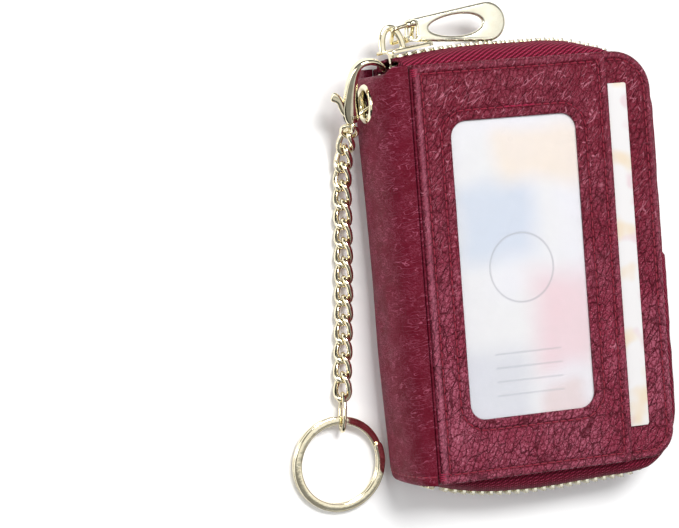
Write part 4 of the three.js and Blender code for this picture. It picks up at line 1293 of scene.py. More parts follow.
@dataclass
class WindowPanel:
    """The front pocket's panel with its folded edges, its window and its seams."""

    x0: float = -31.35
    window: tuple[float, float, float, float] = (-22.5, 11.0, -35.2, 37.8)
    window_corner: float = 4.0
    top: float = 24.95
    sewn_base: float = 23.0
    leather: float = 0.9
    edge_seam: float = 2.25
    window_seam: float = 2.6
    groove: float = 0.44
    puff: float = 0.16
    corners: tuple[float, ...] = (0.5,) * 4
    stitch: Stitch = Stitch()
    overlap: Stitch = Stitch(1.7, 0.46, rise=0.092)
    tack_rows: int = 4
    tack_pitch: float = 0.46

    def outer(self) -> Outline:
        """The panel's outline."""
        w = WALLET
        return Outline(self.x0, w.slot_x, w.low_y, w.high_y, self.corners, 96, 170, 8)

    def inner(self) -> Outline:
        """The window's outline."""
        return Outline(*self.window, (self.window_corner,) * 4, 96, 170, 8)

    def height(self, point: Vector) -> float:
        """The height of the panel's face, which dips to its sewn edges and swells between them."""
        x, y = point.x, point.y
        to_end = min(y - WALLET.low_y, WALLET.high_y - y)
        end_dip = 0.75 * (1 - ease(to_end, 0.5, 6.5))
        side_dip = 0.3 * (1 - ease(x - self.x0, 0.3, 4.5))
        pucker = noise.noise(Vector((x * 0.5, y * 0.1, 1.7))) * math.exp(-abs(to_end - 3.6) / 2.4)
        lift = noise.noise(Vector((x * 0.055, y * 0.05, 3.1)))
        fold = noise.noise(Vector(((x + y) * 0.03, (x - y) * 0.11, 7.7)))
        rumple = lift * 0.1 + fold * 0.09 + pucker * 0.16
        return self.top - 0.16 - max(end_dip, side_dip) + rumple

    def base(self, point: Vector) -> float:
        """The height of the underside: on the cover where it is sewn, else one leather down."""
        reach = min(point.x - self.x0, point.y - WALLET.low_y, WALLET.high_y - point.y)
        return blend_value(self.sewn_base, self.height(point) - self.leather, ease(reach, 0.8, 3.0))

    def rings(self) -> tuple[list[Ring], list[Ring]]:
        """The rings from the outer edge over the face to the window and back, and their shade."""
        outer, inner = self.outer(), self.inner()
        turn_over = [(0.12, 0.0), (0.0, 0.12), (0.0, 0.5), (0.06, 0.7), (0.2, 0.87), (0.45, 0.97),
                     (0.85, 1.0)]
        g = self.groove
        hollow = [(-0.85, 0.0), (-0.55, 0.14 * g), (-0.3, 0.55 * g), (-0.12, g * 0.95), (0.0, g),
                  (0.12, g * 0.95), (0.3, 0.55 * g), (0.55, 0.14 * g), (0.9, 0.0)]
        rings: list[Ring] = []
        shade: list[tuple[float, float]] = []

        def place(ring: Ring, share: float, drop: float = 0.0, seam: float = 0.0,
                  roll: float = 0.0) -> None:
            """Adds a ring a share of the way up to the face, with its painted seam shade and roll
            highlight.
            """
            for point in ring:
                point.z = blend_value(self.base(point), self.height(point), share) - drop
            rings.append(ring)
            shade.append((seam, roll))

        def edge(outline: Outline, way: int, inset: float, share: float, roll: float) -> None:
            """Adds a ring of a folded edge."""
            place(outline.ring(way * inset, 0.0), share, -self.puff * ease(inset, 0.1, 0.85),
                  0.0, roll)

        def sewn(outline: Outline, way: int, seam: float, step: float, drop: float,
                 roll: float) -> None:
            """Adds a ring of a sewn groove."""
            inset = seam + step
            puff = self.puff * (1 - ease(inset, seam - 0.85, seam - 0.1))
            place(outline.ring(way * inset, 0.0), 1.0, drop - puff, bell(inset, seam, 0.3),
                  roll * bell(inset, 1.0, 0.45))

        for inset, share in turn_over:
            edge(outer, 1, inset, share, bell(inset, 1.0, 0.45))
        for step, drop in hollow:
            sewn(outer, 1, self.edge_seam, step, drop, 1.0)
        start = outer.ring(self.edge_seam + 0.95, 0.0)
        end = inner.ring(-self.window_seam - 0.95, 0.0)
        steps = 8
        for i in range(1, steps):
            place([a.lerp(b, i / steps) for a, b in zip(start, end)], 1.0)
        for step, drop in reversed(hollow):
            sewn(inner, -1, self.window_seam, step, drop, 0.4)
        for inset, share in reversed(turn_over):
            edge(inner, -1, inset, share, 0.0)
        start, end = inner.ring(-1.0, 0.0), outer.ring(1.2, 0.0)
        for i in range(6):
            place([a.lerp(b, i / 5) for a, b in zip(start, end)], 0.0)
        # the painted roll highlight is full on the left folded edge and weaker on the others
        near = [1.0 if point.x < self.x0 + 1.6 else 0.3 for point in outer.ring(1.0, 0.0)]
        return rings, [[Vector((seam, roll * side, 0.0)) for side in near] for seam, roll in shade]

    def seam(self, ring: Ring) -> list[Vector]:
        """A ring laid on the bottom of its groove."""
        for point in ring:
            point.z = self.height(point) - self.groove + 0.1
        return ring

    def tacks(self) -> None:
        """Sews the bar tacks at the spine's corners and the overlap in the window's seam."""
        bm = bmesh.new()
        for low in (WALLET.low_y + 1.2, WALLET.high_y - 2.7):
            for row in range(self.tack_rows):
                y, odd = low + row * self.tack_pitch, row % 2
                stops = ((-31.8, 0.5), (-31.3, 0.04), (-30.6 + 0.3 * odd, -0.1),
                         (-29.9 + 0.5 * odd, 0.12))
                path = [Vector((x, y + 0.05 * row,
                                self.height(Vector((max(x, self.x0), y, 0))) - drop))
                        for x, drop in stops]
                swept(path, lambda i: oval_section(0.15, 0.15, 6), UP, into=bm)
        seam = self.seam(self.inner().ring(-self.window_seam, 0.0))
        self.overlap.sew([p + Vector((0.0, 0.1, 0.16)) for p in seam
                          if p.y > 39.0 and -8.0 < p.x < 0.6], bm)
        finished("BarTacks", bm, Ware.TACK, "front")

    def fold(self) -> bmesh.types.BMesh:
        """The thin fold of the cover beside the panel."""
        low, high = WALLET.low_y + 0.7, WALLET.high_y - 0.7
        count = 60
        rings = []
        for i in range(count + 1):
            y = blend_value(low, high, i / count)
            thin = min(1.0, 0.35 + min(y - low, high - y) * 0.8)
            x = -31.82 + noise.noise(Vector((0.0, y * 0.08, 1.0))) * 0.05
            rings.append([Vector((x + a * thin, y, 23.62 + b * (0.9 + 0.1 * thin)))
                          for a, b in oval_section(0.38, 0.66, 14, 2.6)])
        return skin(rings)

    def build(self) -> None:
        """Makes the panel, its stitches and the fold."""
        rings, lays = self.rings()
        finished("WindowPanel", skin(rings, loop=True, lays=lays), Ware.PANEL, "front",
                 ["window_panel"], sharp=60)
        bm = bmesh.new()
        for outline, inset in ((self.outer(), self.edge_seam), (self.inner(), -self.window_seam)):
            seam = self.seam(outline.ring(inset, 0.0))
            self.stitch.sew(seam + seam[:1], bm)
        finished("PanelStitches", bm, Ware.THREAD, "front")
        self.tacks()
        finished("CoverFold", self.fold(), Ware.SPINE, "front")


@dataclass
class SpineCover:
    """The spine's leather: a full bulge with drawn-in, hemmed ends and the eyelet's hole."""

    bulge: float = 6.5
    swell: float = 1.15
    height: float = 24.6
    leather: float = 1.2
    gap: float = 0.3
    fullness: float = 2 / 2.6
    end_round: float = 3.6
    end_draw: float = 1.7
    hem_seam: float = 2.3
    hole: float = 4.1
    low_draw: float = 1.25
    dip: float = 2.15
    outer_steps: int = 44
    inner_steps: int = 20
    stitch: Stitch = Stitch(sink=0.25, rise=0.06)

    def full(self, y: float) -> float:
        """How far the bulge stands out at a place along the spine."""
        drawn = self.low_draw * (1 - ease(y, -50.0, -14.0))
        return self.bulge + self.swell * ease(y, -4.0, 46.0) - drawn

    def dipped(self, y: float, turn: float) -> float:
        """A place near the top hem, which dips round the bulge where the clasp hooks over it."""
        return y - self.dip * ease(y, 38.0, WALLET.high_y) * (1 - ease(abs(turn), 0.5, 1.1))

    def section(self, y: float) -> Ring:
        """The section's points at a place along the spine, outer skin first."""
        to_end = min(y - WALLET.low_y, WALLET.high_y - y)
        draw = 0.0
        if to_end < self.end_round:
            slope = 1 - to_end / self.end_round
            draw = self.end_draw * (1 - math.sqrt(max(0.0, 1 - slope ** 2)))
        groove = (0.24 if y < 0 else 0.1) * bell(to_end, self.hem_seam, 0.4)
        half = self.height / 2

        def at(share: float, leather: float, groove: float, rough: float) -> Vector:
            """A point a share of the way round, a thickness in from the full bulge."""
            turn = (share - 0.5) * math.pi
            up = math.copysign(abs(math.sin(turn)) ** self.fullness, math.sin(turn))
            out = math.cos(turn) ** self.fullness
            ripple = noise.noise(Vector((turn * 1.3, y * 0.07, 5.0))) * 0.16 * out
            reach = (self.full(y) - leather - self.gap - draw - groove
                     - rough * (ripple + 0.08)) * out
            rise = half + (half - leather - draw * 0.25 - groove) * up
            return Vector((WALLET.crease_x - self.gap - reach, self.dipped(y, turn), rise))

        outer = [at(i / self.outer_steps, 0.0, groove, 1.0) for i in range(self.outer_steps + 1)]
        for point in outer:
            point.z = max(point.z, 0.02)
        return outer + [at(i / self.inner_steps, self.leather, 0.0, 0.0)
                        for i in range(self.inner_steps, -1, -1)]

    def build(self) -> None:
        """Makes the spine and its hem stitches."""
        low, high = WALLET.low_y, WALLET.high_y
        places = [low + 0.001] + [low + 0.25 * i for i in range(1, 17)]
        places += [blend_value(low + 5.0, high - 5.0, i / 90) for i in range(91)]
        places += [high - 0.25 * i for i in range(16, 0, -1)] + [high - 0.001]
        bm = skin([self.section(y) for y in places])
        tool = put(peg(self.hole, 9.0, 40), Matrix.Translation(WALLET.eyelet) @ turn_about("Y", 90))
        self.follow(finished("SpineCover", carved(bm, tool), Ware.SPINE, None, ["spine_cover"],
                             sharp=60))
        middle = Vector((WALLET.crease_x, 0.0, WALLET.thickness / 2))
        threads = self.stitch.sew(self.section(low + self.hem_seam)[2:43], middle=middle)
        self.follow(finished("SpineStitches", threads, Ware.THREAD, None))

    @staticmethod
    def follow(piece: bpy.types.Object) -> None:
        """Bakes a piece's placing into its mesh."""
        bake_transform(piece)


@dataclass
class ShownCard:
    """The card in the front pocket and the clear film over it."""

    card: tuple[float, float, float, float] = (-28.25, 25.75, -41.4, 44.2)
    card_heights: tuple[float, float] = (23.0, 23.75)
    card_corners: tuple[float, ...] = (0.6, 0.6, 3.2, 3.2)
    film: tuple[float, float, float, float] = (-25.0, 12.5, -36.5, 39.7)
    film_heights: tuple[float, float] = (23.87, 23.98)
    film_corners: tuple[float, ...] = (4.0,) * 4

    def build(self) -> None:
        """Makes the card and the film."""
        def ripple(point: Vector) -> float:
            """How far the film is out of flat."""
            return noise.noise(Vector((point.x * 0.07, point.y * 0.06, 9.0))) * 0.05

        card = Outline(*self.card, self.card_corners, 40, 60, 8)
        finished("DisplayCard", rounded_slab(card, *self.card_heights, 0.12, 3.0), Ware.CARD,
                 "card", ["display_card"])
        film = Outline(*self.film, self.film_corners, 40, 70, 6)
        finished("IdFilm", rounded_slab(film, *self.film_heights, 0.05, 1.5, ripple), Ware.FILM,
                 "front", ["id_window"])


# ---------------------------------------------------------------- zip


SLIDER_FROM_CREASE = 5.0


@dataclass
class MainZip:
    """Tapes, cords, teeth and stops."""

    fullness: float = 2 / 2.8
    tape: float = 0.56
    cord: float = 0.14
    low_bulge: float = 1.2
    leg: float = 3.0
    pitch: float = 2.4
    tooth: float = 1.05
    reach: float = 0.55
    leg_thickness: float = 1.9
    head_thickness: float = 1.5
    stop: float = 1.8
    rows: int = 300
    steps: int = 22
    low_shift: float = 0.35
    first_past_slider: float = -3.1

    def section(self, seat: Seat, side: int, distance: float) -> tuple[Ring, Ring]:
        """The tape's section at one place on the zip.

        Args:
            seat: the place.
            side: 1 for the front half, -1 for the back half.
            distance: its distance along the zip.

        Returns:
            The section's points and their places along and across.
        """
        w, steps = WALLET, self.steps
        rise = abs((w.front_inside if side > 0 else w.back_inside) - side * 0.1 - w.zip_height)
        ripple = abs(noise.noise(Vector((distance * 0.13, side * 3.0, 2.0)))) * -0.5
        if side > 0 > seat.line.y:
            ripple += self.low_bulge * bell(seat.line.x, 30.0, 6.5)
        reach = seat.line + seat.out * self.tape / 2 - seat.rail
        end_turn = math.acos(((self.leg - 1.6) / rise) ** (1 / self.fullness))
        line = []
        for i in range(steps + 1):
            turn = end_turn * i / steps
            across = math.sin(turn) ** self.fullness * reach.length
            line.append((across + math.sin(math.pi * i / steps) * ripple,
                         math.cos(turn) ** self.fullness * rise))
        faces, lays = ([], []), ([], [])
        run = 0.0
        for i, (across, up) in enumerate(line):
            before, after = line[max(i - 1, 0)], line[min(i + 1, steps)]
            along = Vector((after[0] - before[0], after[1] - before[1])).normalized()
            run += math.dist(line[i - 1], line[i]) if i else 0.0
            cord = bell(up, 2.6, 0.5) * self.cord
            groove = bell(up, 3.7, 0.4) * self.cord
            thin = 0.12 if i == steps else 0.0
            for k, off in enumerate((cord - groove - thin, thin - self.tape - cord)):
                flat = seat.rail + reach.normalized() * (across - along.y * off)
                height = w.zip_height + side * (up + along.x * off)
                faces[k].append(Vector((flat.x, flat.y, height)))
                lays[k].append(Vector((distance, run * side, up)))
        return faces[0] + faces[1][::-1], lays[0] + lays[1][::-1]

    def tape_half(self, side: int) -> bmesh.types.BMesh:
        """One whole tape."""
        places = [ZIP.length * i / self.rows for i in range(self.rows + 1)]
        rings, lays = zip(*(self.section(ZIP.at(place), side, place) for place in places))
        return skin(rings, lays=lays)

    def tuck(self, bm: bmesh.types.BMesh, side: int, distance: float) -> None:
        """Folds the tape's end in behind its bulge, into a mesh, from a distance along the zip."""
        rings, lays = [], []
        for step in (0.0, 0.25, 0.5):
            seat = ZIP.at(distance + step)
            ring, _ = self.section(seat, side, distance + step)
            arch = [p for p in ring[:self.steps + 1] if abs(p.z - WALLET.zip_height) > 4.9]
            inner = (seat.rail + (seat.rail - seat.line).normalized() * 0.2).to_3d()
            middle = sum(arch, Vector()) / len(arch)
            poly = [p.lerp(middle, 0.06) for p in arch]
            poly += [inner + UP * arch[-1].z, inner + UP * (arch[0].z - side * 0.4)]
            rings.append(poly)
            lays.append([Vector((p.z, p.y, 9.0)) for p in poly])
        skin(rings, into=bm, lays=lays)

    def tooth_die(self) -> bpy.types.Mesh:
        """One tooth: X along the zip, Y outwards, Z from its head up its legs."""
        half, thick = self.tooth / 2, self.leg_thickness / 2
        bm = box_tool((-half, -thick, -self.reach), (half, thick, self.leg))
        for vert in bm.verts:
            if vert.co.z < 0:
                vert.co.y *= self.head_thickness / self.leg_thickness
        return die_from(softened(bm, 0.13, 2, 0.6))

    def teeth(self, side: int) -> bmesh.types.BMesh:
        """One row of teeth, half a pitch from the other row."""
        bm = bmesh.new()
        die = self.tooth_die()
        distance = self.first_tooth() + self.tooth / 2 + (0.0 if side > 0 else self.pitch / 2)
        while distance + self.tooth < ZIP.length - 2 * self.stop:
            stamp(bm, die, self.upright(distance, side))
            distance += self.pitch
        return bm

    def first_tooth(self) -> float:
        """Where the teeth start along the zip: just past the slider's post."""
        run, apex = ZIP.top_radius, ZIP.apex_from_crease
        slider = run * (math.asin((SLIDER_FROM_CREASE - apex) / run)
                        - math.asin((ZIP.end_from_crease - apex) / run))
        return slider + self.first_past_slider

    def upright(self, distance: float, side: int) -> Matrix:
        """A placing at a distance along the zip, with Z pointing to one tape and Y outwards."""
        seat = ZIP.at(distance)
        out, up = seat.out.to_3d(), UP * side
        line = seat.line + seat.out * self.low_shift * ease(-seat.line.y, 30.0, 50.0)
        return placing(Vector((line.x, line.y, WALLET.zip_height)), out.cross(up), out, up)

    def build(self) -> None:
        """Makes the tapes, the teeth and the stops."""
        for side, name, body in ((1, "Front", "front"), (-1, "Back", "wallet_back")):
            low = name.lower()
            finished(f"{name}Tape", self.tape_half(side), Ware.TAPE, body, [f"{low}_zip_tape"],
                     sharp=70)
            tuck = bmesh.new()
            for distance in (0.15, ZIP.length - 0.65):
                self.tuck(tuck, side, distance)
            finished(f"{name}TapeTucks", tuck, Ware.TAPE, body)
            finished(f"{name}Teeth", self.teeth(side), Ware.SATIN_GOLD, body, [f"{low}_zip_teeth"])
            block = box_tool((-self.stop / 2, -1.0, 0.5), (self.stop / 2, 1.0, 3.1))
            stop = softened(block, 0.35, 3)
            put(stop, self.upright(ZIP.length - self.stop, side))
            finished(f"{name}Stop", stop, Ware.GOLD, body, [f"zip_stop_{low}"])


@dataclass
class Slider:
    """The zip slider with its arch, the link and the pull tab."""

    length: float = 13.0
    mouth: float = 9.2
    rear: float = 8.2
    corner: float = 1.9
    link_corner: float = 0.7
    tab_corner: float = 1.3
    roof: float = 2.25
    shell_half: float = 2.4
    channel_high: float = 1.98
    channel_wide: float = 3.3
    slot_high: float = 1.45
    post: float = 1.2
    post_from_mouth: float = 1.9
    arch_half: float = 3.2
    arch_height: float = 6.2
    arch_strip: float = 0.95
    arch_width: float = 1.7
    arch_shift: float = -3.2
    link_length: float = 5.6
    link_half: float = 2.6
    link_wire: float = 0.95
    bar_rise: float = 3.2
    bar_shift: float = 0.4
    link_lean: float = 48.0
    link_turn: float = 5.0
    tab_length: float = 27.0
    tab_wide: float = 9.9
    tab_narrow: float = 5.5
    tab_thickness: float = 1.4
    tab_inset: float = 2.0
    tab_turn: float = -10.0
    oval_length: float = 14.6
    oval_width: float = 5.2
    oval_margin: float = 6.1

    def seat(self) -> Matrix:
        """The slider's seat: its origin at the middle of the top run's arc."""
        turn = math.asin((SLIDER_FROM_CREASE - ZIP.apex_from_crease) / ZIP.top_radius)
        middle = ZIP.top["middle"]
        return (Matrix.Translation((middle.x, middle.y, WALLET.zip_height))
                @ Matrix.Rotation(-turn, 4, "Z"))

    def link_seat(self) -> Matrix:
        """The seat of the link's first bar."""
        place = (self.arch_shift + self.bar_shift, ZIP.top_radius + self.roof + self.bar_rise, 0.0)
        return self.seat() @ Matrix.Translation(place) @ turn_about("Z", self.link_turn)

    @staticmethod
    def rounded(ends: Sequence[tuple[float, float]], radius: float, steps: int,
                middle: float = 0.0) -> Ring:
        """Four corners rounded, anticlockwise from the one at low Y and high X."""
        points: Ring = []
        for k, (x, y) in enumerate(ends):
            points += arc(x - math.copysign(radius, x - middle), y - math.copysign(radius, y),
                          radius, math.pi / 2 * (k - 1), math.pi / 2, steps)
        return points

    def body(self) -> bmesh.types.BMesh:
        """The two plates with their channel, the post and the arch."""
        half, rear, mouth = self.length / 2, self.rear / 2, self.mouth / 2
        ends = [(half, -rear), (half, rear), (-half, mouth), (-half, -mouth)]
        shell = pierced_plate(self.rounded(ends, self.corner, 8), [], 2 * self.shell_half, 0.45)
        far, wide, high = half + 1, self.channel_wide, self.channel_high
        channel = box_tool((-far, -wide, -high), (far, wide, high))
        slot = box_tool((-far, -self.mouth, -self.slot_high), (far, self.mouth, self.slot_high))
        x = self.post_from_mouth - half
        post = box_tool((x, -0.55, -high - 0.5), (x + self.post, 0.55, high + 0.5))
        bm = put(joined(carved(shell, channel, slot), post), turn_about("X", -90))
        count = 36
        turns = [math.pi * i / count for i in range(count + 1)]
        span, rise = self.arch_half - self.arch_strip / 2, self.arch_height - self.arch_strip / 2
        path = [Vector((span * math.cos(t) + self.arch_shift,
                        rise * abs(math.sin(t)) ** 0.85 + self.roof - 0.3, 0.0)) for t in turns]
        section = oval_section(self.arch_width / 2, self.arch_strip / 2, 16, 3.2)
        arch = swept(path, lambda i: section, UP)
        return put(joined(bm, arch), self.seat() @ Matrix.Translation((0, ZIP.top_radius, 0)))

    def link(self) -> bmesh.types.BMesh:
        """The rectangular link with a barrel at each end of its bars."""
        reach, far = self.link_half, self.link_length
        ends = [(far, -reach), (far, reach), (0.0, reach), (0.0, -reach)]
        path = self.rounded(ends, self.link_corner, 6, far / 2)
        dense = []
        for i, point in enumerate(path):
            after = path[(i + 1) % len(path)]
            pieces = max(int((after - point).length / 0.4), 1)
            dense += [point.lerp(after, j / pieces) for j in range(pieces)]
        section = oval_section(self.link_wire / 2, self.link_wire / 2, 14, 2.8)
        bm = swept(dense, lambda i: section, UP, loop=True)
        turns = [math.tau * j / 20 for j in range(20)]
        bead = [(-1.35, 0.55), (-1.3, 0.8), (-1.05, 0.95), (-0.3, 0.98), (-0.12, 0.86),
                (0.12, 0.86), (0.3, 0.98), (1.05, 0.95), (1.3, 0.8), (1.35, 0.55)]
        for side in (-1, 1):
            middle = Vector((far - 0.75, side * (reach + 0.05), 0.0))
            skin([[middle + Vector((x, r * math.cos(t), r * math.sin(t))) for t in turns]
                  for x, r in bead], into=bm)
        return put(bm, self.link_seat() @ turn_about("X", self.link_lean - 180.0))

    def tab(self) -> bmesh.types.BMesh:
        """The teardrop tab with its slot and its oval."""
        narrow, wide, radius = self.tab_narrow / 2, self.tab_wide / 2, self.tab_corner
        x0 = -self.tab_inset
        x1 = x0 + self.tab_length - wide
        tilt = math.asin((wide - narrow) / (x1 - x0))
        quarter = math.pi / 2
        low = arc(x0 + radius, radius - narrow, radius, math.pi, quarter, 6)
        end = arc(x1, 0.0, wide, -quarter - tilt, math.pi + 2 * tilt, 40)
        high = arc(x0 + radius, narrow - radius, radius, quarter, quarter, 6)
        outline = low + [low[-1].lerp(end[0], j / 16) for j in range(1, 16)]
        outline += end + [end[-1].lerp(high[0], j / 16) for j in range(1, 16)] + high
        half, oval_x = self.oval_length / 2, x0 + self.tab_length - self.oval_margin
        turns = [-math.tau * i / 56 for i in range(56)]
        oval = [Vector((oval_x - half + half * math.cos(t),
                        self.oval_width / 2 * (1 + 0.14 * math.cos(t)) * math.sin(t), 0))
                for t in turns]
        slot = Outline(-0.95, 0.95, -1.95, 1.95, (0.5,) * 4, 4, 8, 4).ring(0.0, 0.0)[::-1]
        bm = pierced_plate(outline, [oval, slot], self.tab_thickness, 0.5, soft=True)
        place = Matrix.Translation((self.link_length, 0, 0)) @ turn_about("Z", self.tab_turn)
        return put(bm, self.link_seat() @ place)

    def build(self) -> None:
        """Makes the slider, the link and the tab."""
        finished("SliderBody", self.body(), Ware.GOLD, "slider", ["slider_body"])
        finished("PullLink", self.link(), Ware.GOLD, "link", ["pull_link"])
        finished("PullTab", self.tab(), Ware.SATIN_GOLD, "tab", ["pull_tab"])


# ---------------------------------------------------------------- clasp, chain and ring


@dataclass
class Clasp:
    """The eyelet in the spine and the lobster clasp hooked through it."""

    length: float = 16.0
    droop: float = 20.0
    depth: float = 2.6
    pivot: tuple[float, float] = (-0.244, -0.181)
    eye: tuple[float, float] = (-0.253, -0.335)
    back: tuple[tuple[float, float, float], ...] = (
        (-0.25, -0.285, 0.082), (-0.258, -0.21, 0.118), (-0.268, -0.1, 0.134),
        (-0.281, 0.03, 0.127),
        (-0.288, 0.16, 0.112), (-0.284, 0.3, 0.096), (-0.268, 0.44, 0.078), (-0.226, 0.575, 0.064),
        (-0.13, 0.66, 0.055),
        (0.0, 0.68, 0.051), (0.115, 0.65, 0.046), (0.195, 0.59, 0.04), (0.23, 0.51, 0.034),
    )
    gate: tuple[tuple[float, float, float], ...] = (
        (-0.6, 0.165, 0.052), (-0.565, 0.152, 0.074), (-0.51, 0.12, 0.066), (-0.455, 0.06, 0.056),
        (-0.415, -0.03, 0.054), (-0.36, -0.125, 0.048), (-0.244, -0.181, 0.05),
        (-0.13, -0.15, 0.03),
        (0.02, -0.06, 0.026), (0.14, 0.05, 0.026), (0.2, 0.17, 0.026), (0.208, 0.3, 0.026),
        (0.185, 0.4, 0.026), (0.165, 0.46, 0.026),
    )
    grommet: tuple[tuple[float, float], ...] = (
        (3.3, -0.92), (3.55, -1.22), (4.1, -1.34), (4.4, -1.17), (4.9, -0.74), (3.75, -0.6),
        (3.75, 0.6), (4.9, 0.74), (4.65, 1.12), (4.15, 1.38), (4.0, 1.42), (3.55, 1.24),
        (3.3, 0.87),
    )
    eye_radius: float = 1.35
    eye_wire: float = 0.45
    pin: float = 0.45
    bore: float = 0.6

    def bar(self, stops: Sequence[Sequence[float]], depth: float,
            power: float) -> bmesh.types.BMesh:
        """A bar through stops of place and half width, oval in section."""
        curve = curve_through(stops, 7)
        path = [Vector((x * self.length, y * self.length, 0.0)) for x, y, _ in curve]
        last = len(path) - 1

        def section(i: int) -> list[tuple[float, float]]:
            """The section at one point, drawn in at the two ends."""
            end = min(i, last - i)
            shrink = (0.45, 0.8, 0.95)[end] if end < 3 else 1.0
            half = max(curve[i][2], 0.02) * self.length * shrink
            return oval_section(half, min(depth / 2, half * 2.4) * shrink, 18, power)

        return swept(path, section, UP)

    def build(self) -> Vector:
        """Makes the eyelet, the clasp, its pin and its gate.

        Returns:
            The place of the eye that the chain hangs from.
        """
        turns = [math.tau * i / 56 for i in range(56)]
        ring = skin([[Vector((-h, r * math.cos(t), r * math.sin(t))) for r, h in self.grommet]
                     for t in turns], loop=True)
        put(ring, Matrix.Translation(WALLET.eyelet + Vector((0.05, 0.0, 0.0))))
        finished("Grommet", ring, Ware.GOLD, "wallet_back", ["grommet"])
        seat = Matrix.Translation(WALLET.eyelet) @ turn_about("X", self.droop)
        px, py = (share * self.length for share in self.pivot)
        pivot = Matrix.Translation((px, py, 0.0))
        slot = box_tool((-self.length, py - 1.35, -0.6), (self.length, py + 3.9, 0.6))
        bore = put(peg(self.bore, 6.0, 20), pivot)
        body = carved(self.bar(self.back, self.depth, 2.5), slot, bore)
        ex, ey = (share * self.length for share in self.eye)
        turns = [math.tau * i / 30 for i in range(30)]
        eye_path = [Vector((ex, ey + self.eye_radius * math.cos(t), self.eye_radius * math.sin(t)))
                    for t in turns]
        eye = swept(eye_path, lambda i: oval_section(self.eye_wire, self.eye_wire, 12),
                    Vector((1, 0, 0)), loop=True)
        finished("ClaspBody", put(joined(body, eye), seat), Ware.GOLD, "clasp", ["clasp_body"])
        pin = peg(self.pin, self.depth - 0.3, 20)
        softened(pin, 0.12, 2, edges=[e for e in pin.edges if e.calc_face_angle(0) > 1])
        finished("ClaspPin", put(pin, seat @ pivot), Ware.GOLD, "clasp", ["clasp_pin"])
        gate = put(self.bar(self.gate, 1.0, 2.2), seat)
        finished("ClaspGate", gate, Ware.GOLD, "gate", ["clasp_gate"])
        return seat @ Vector((ex, ey, 0.0))


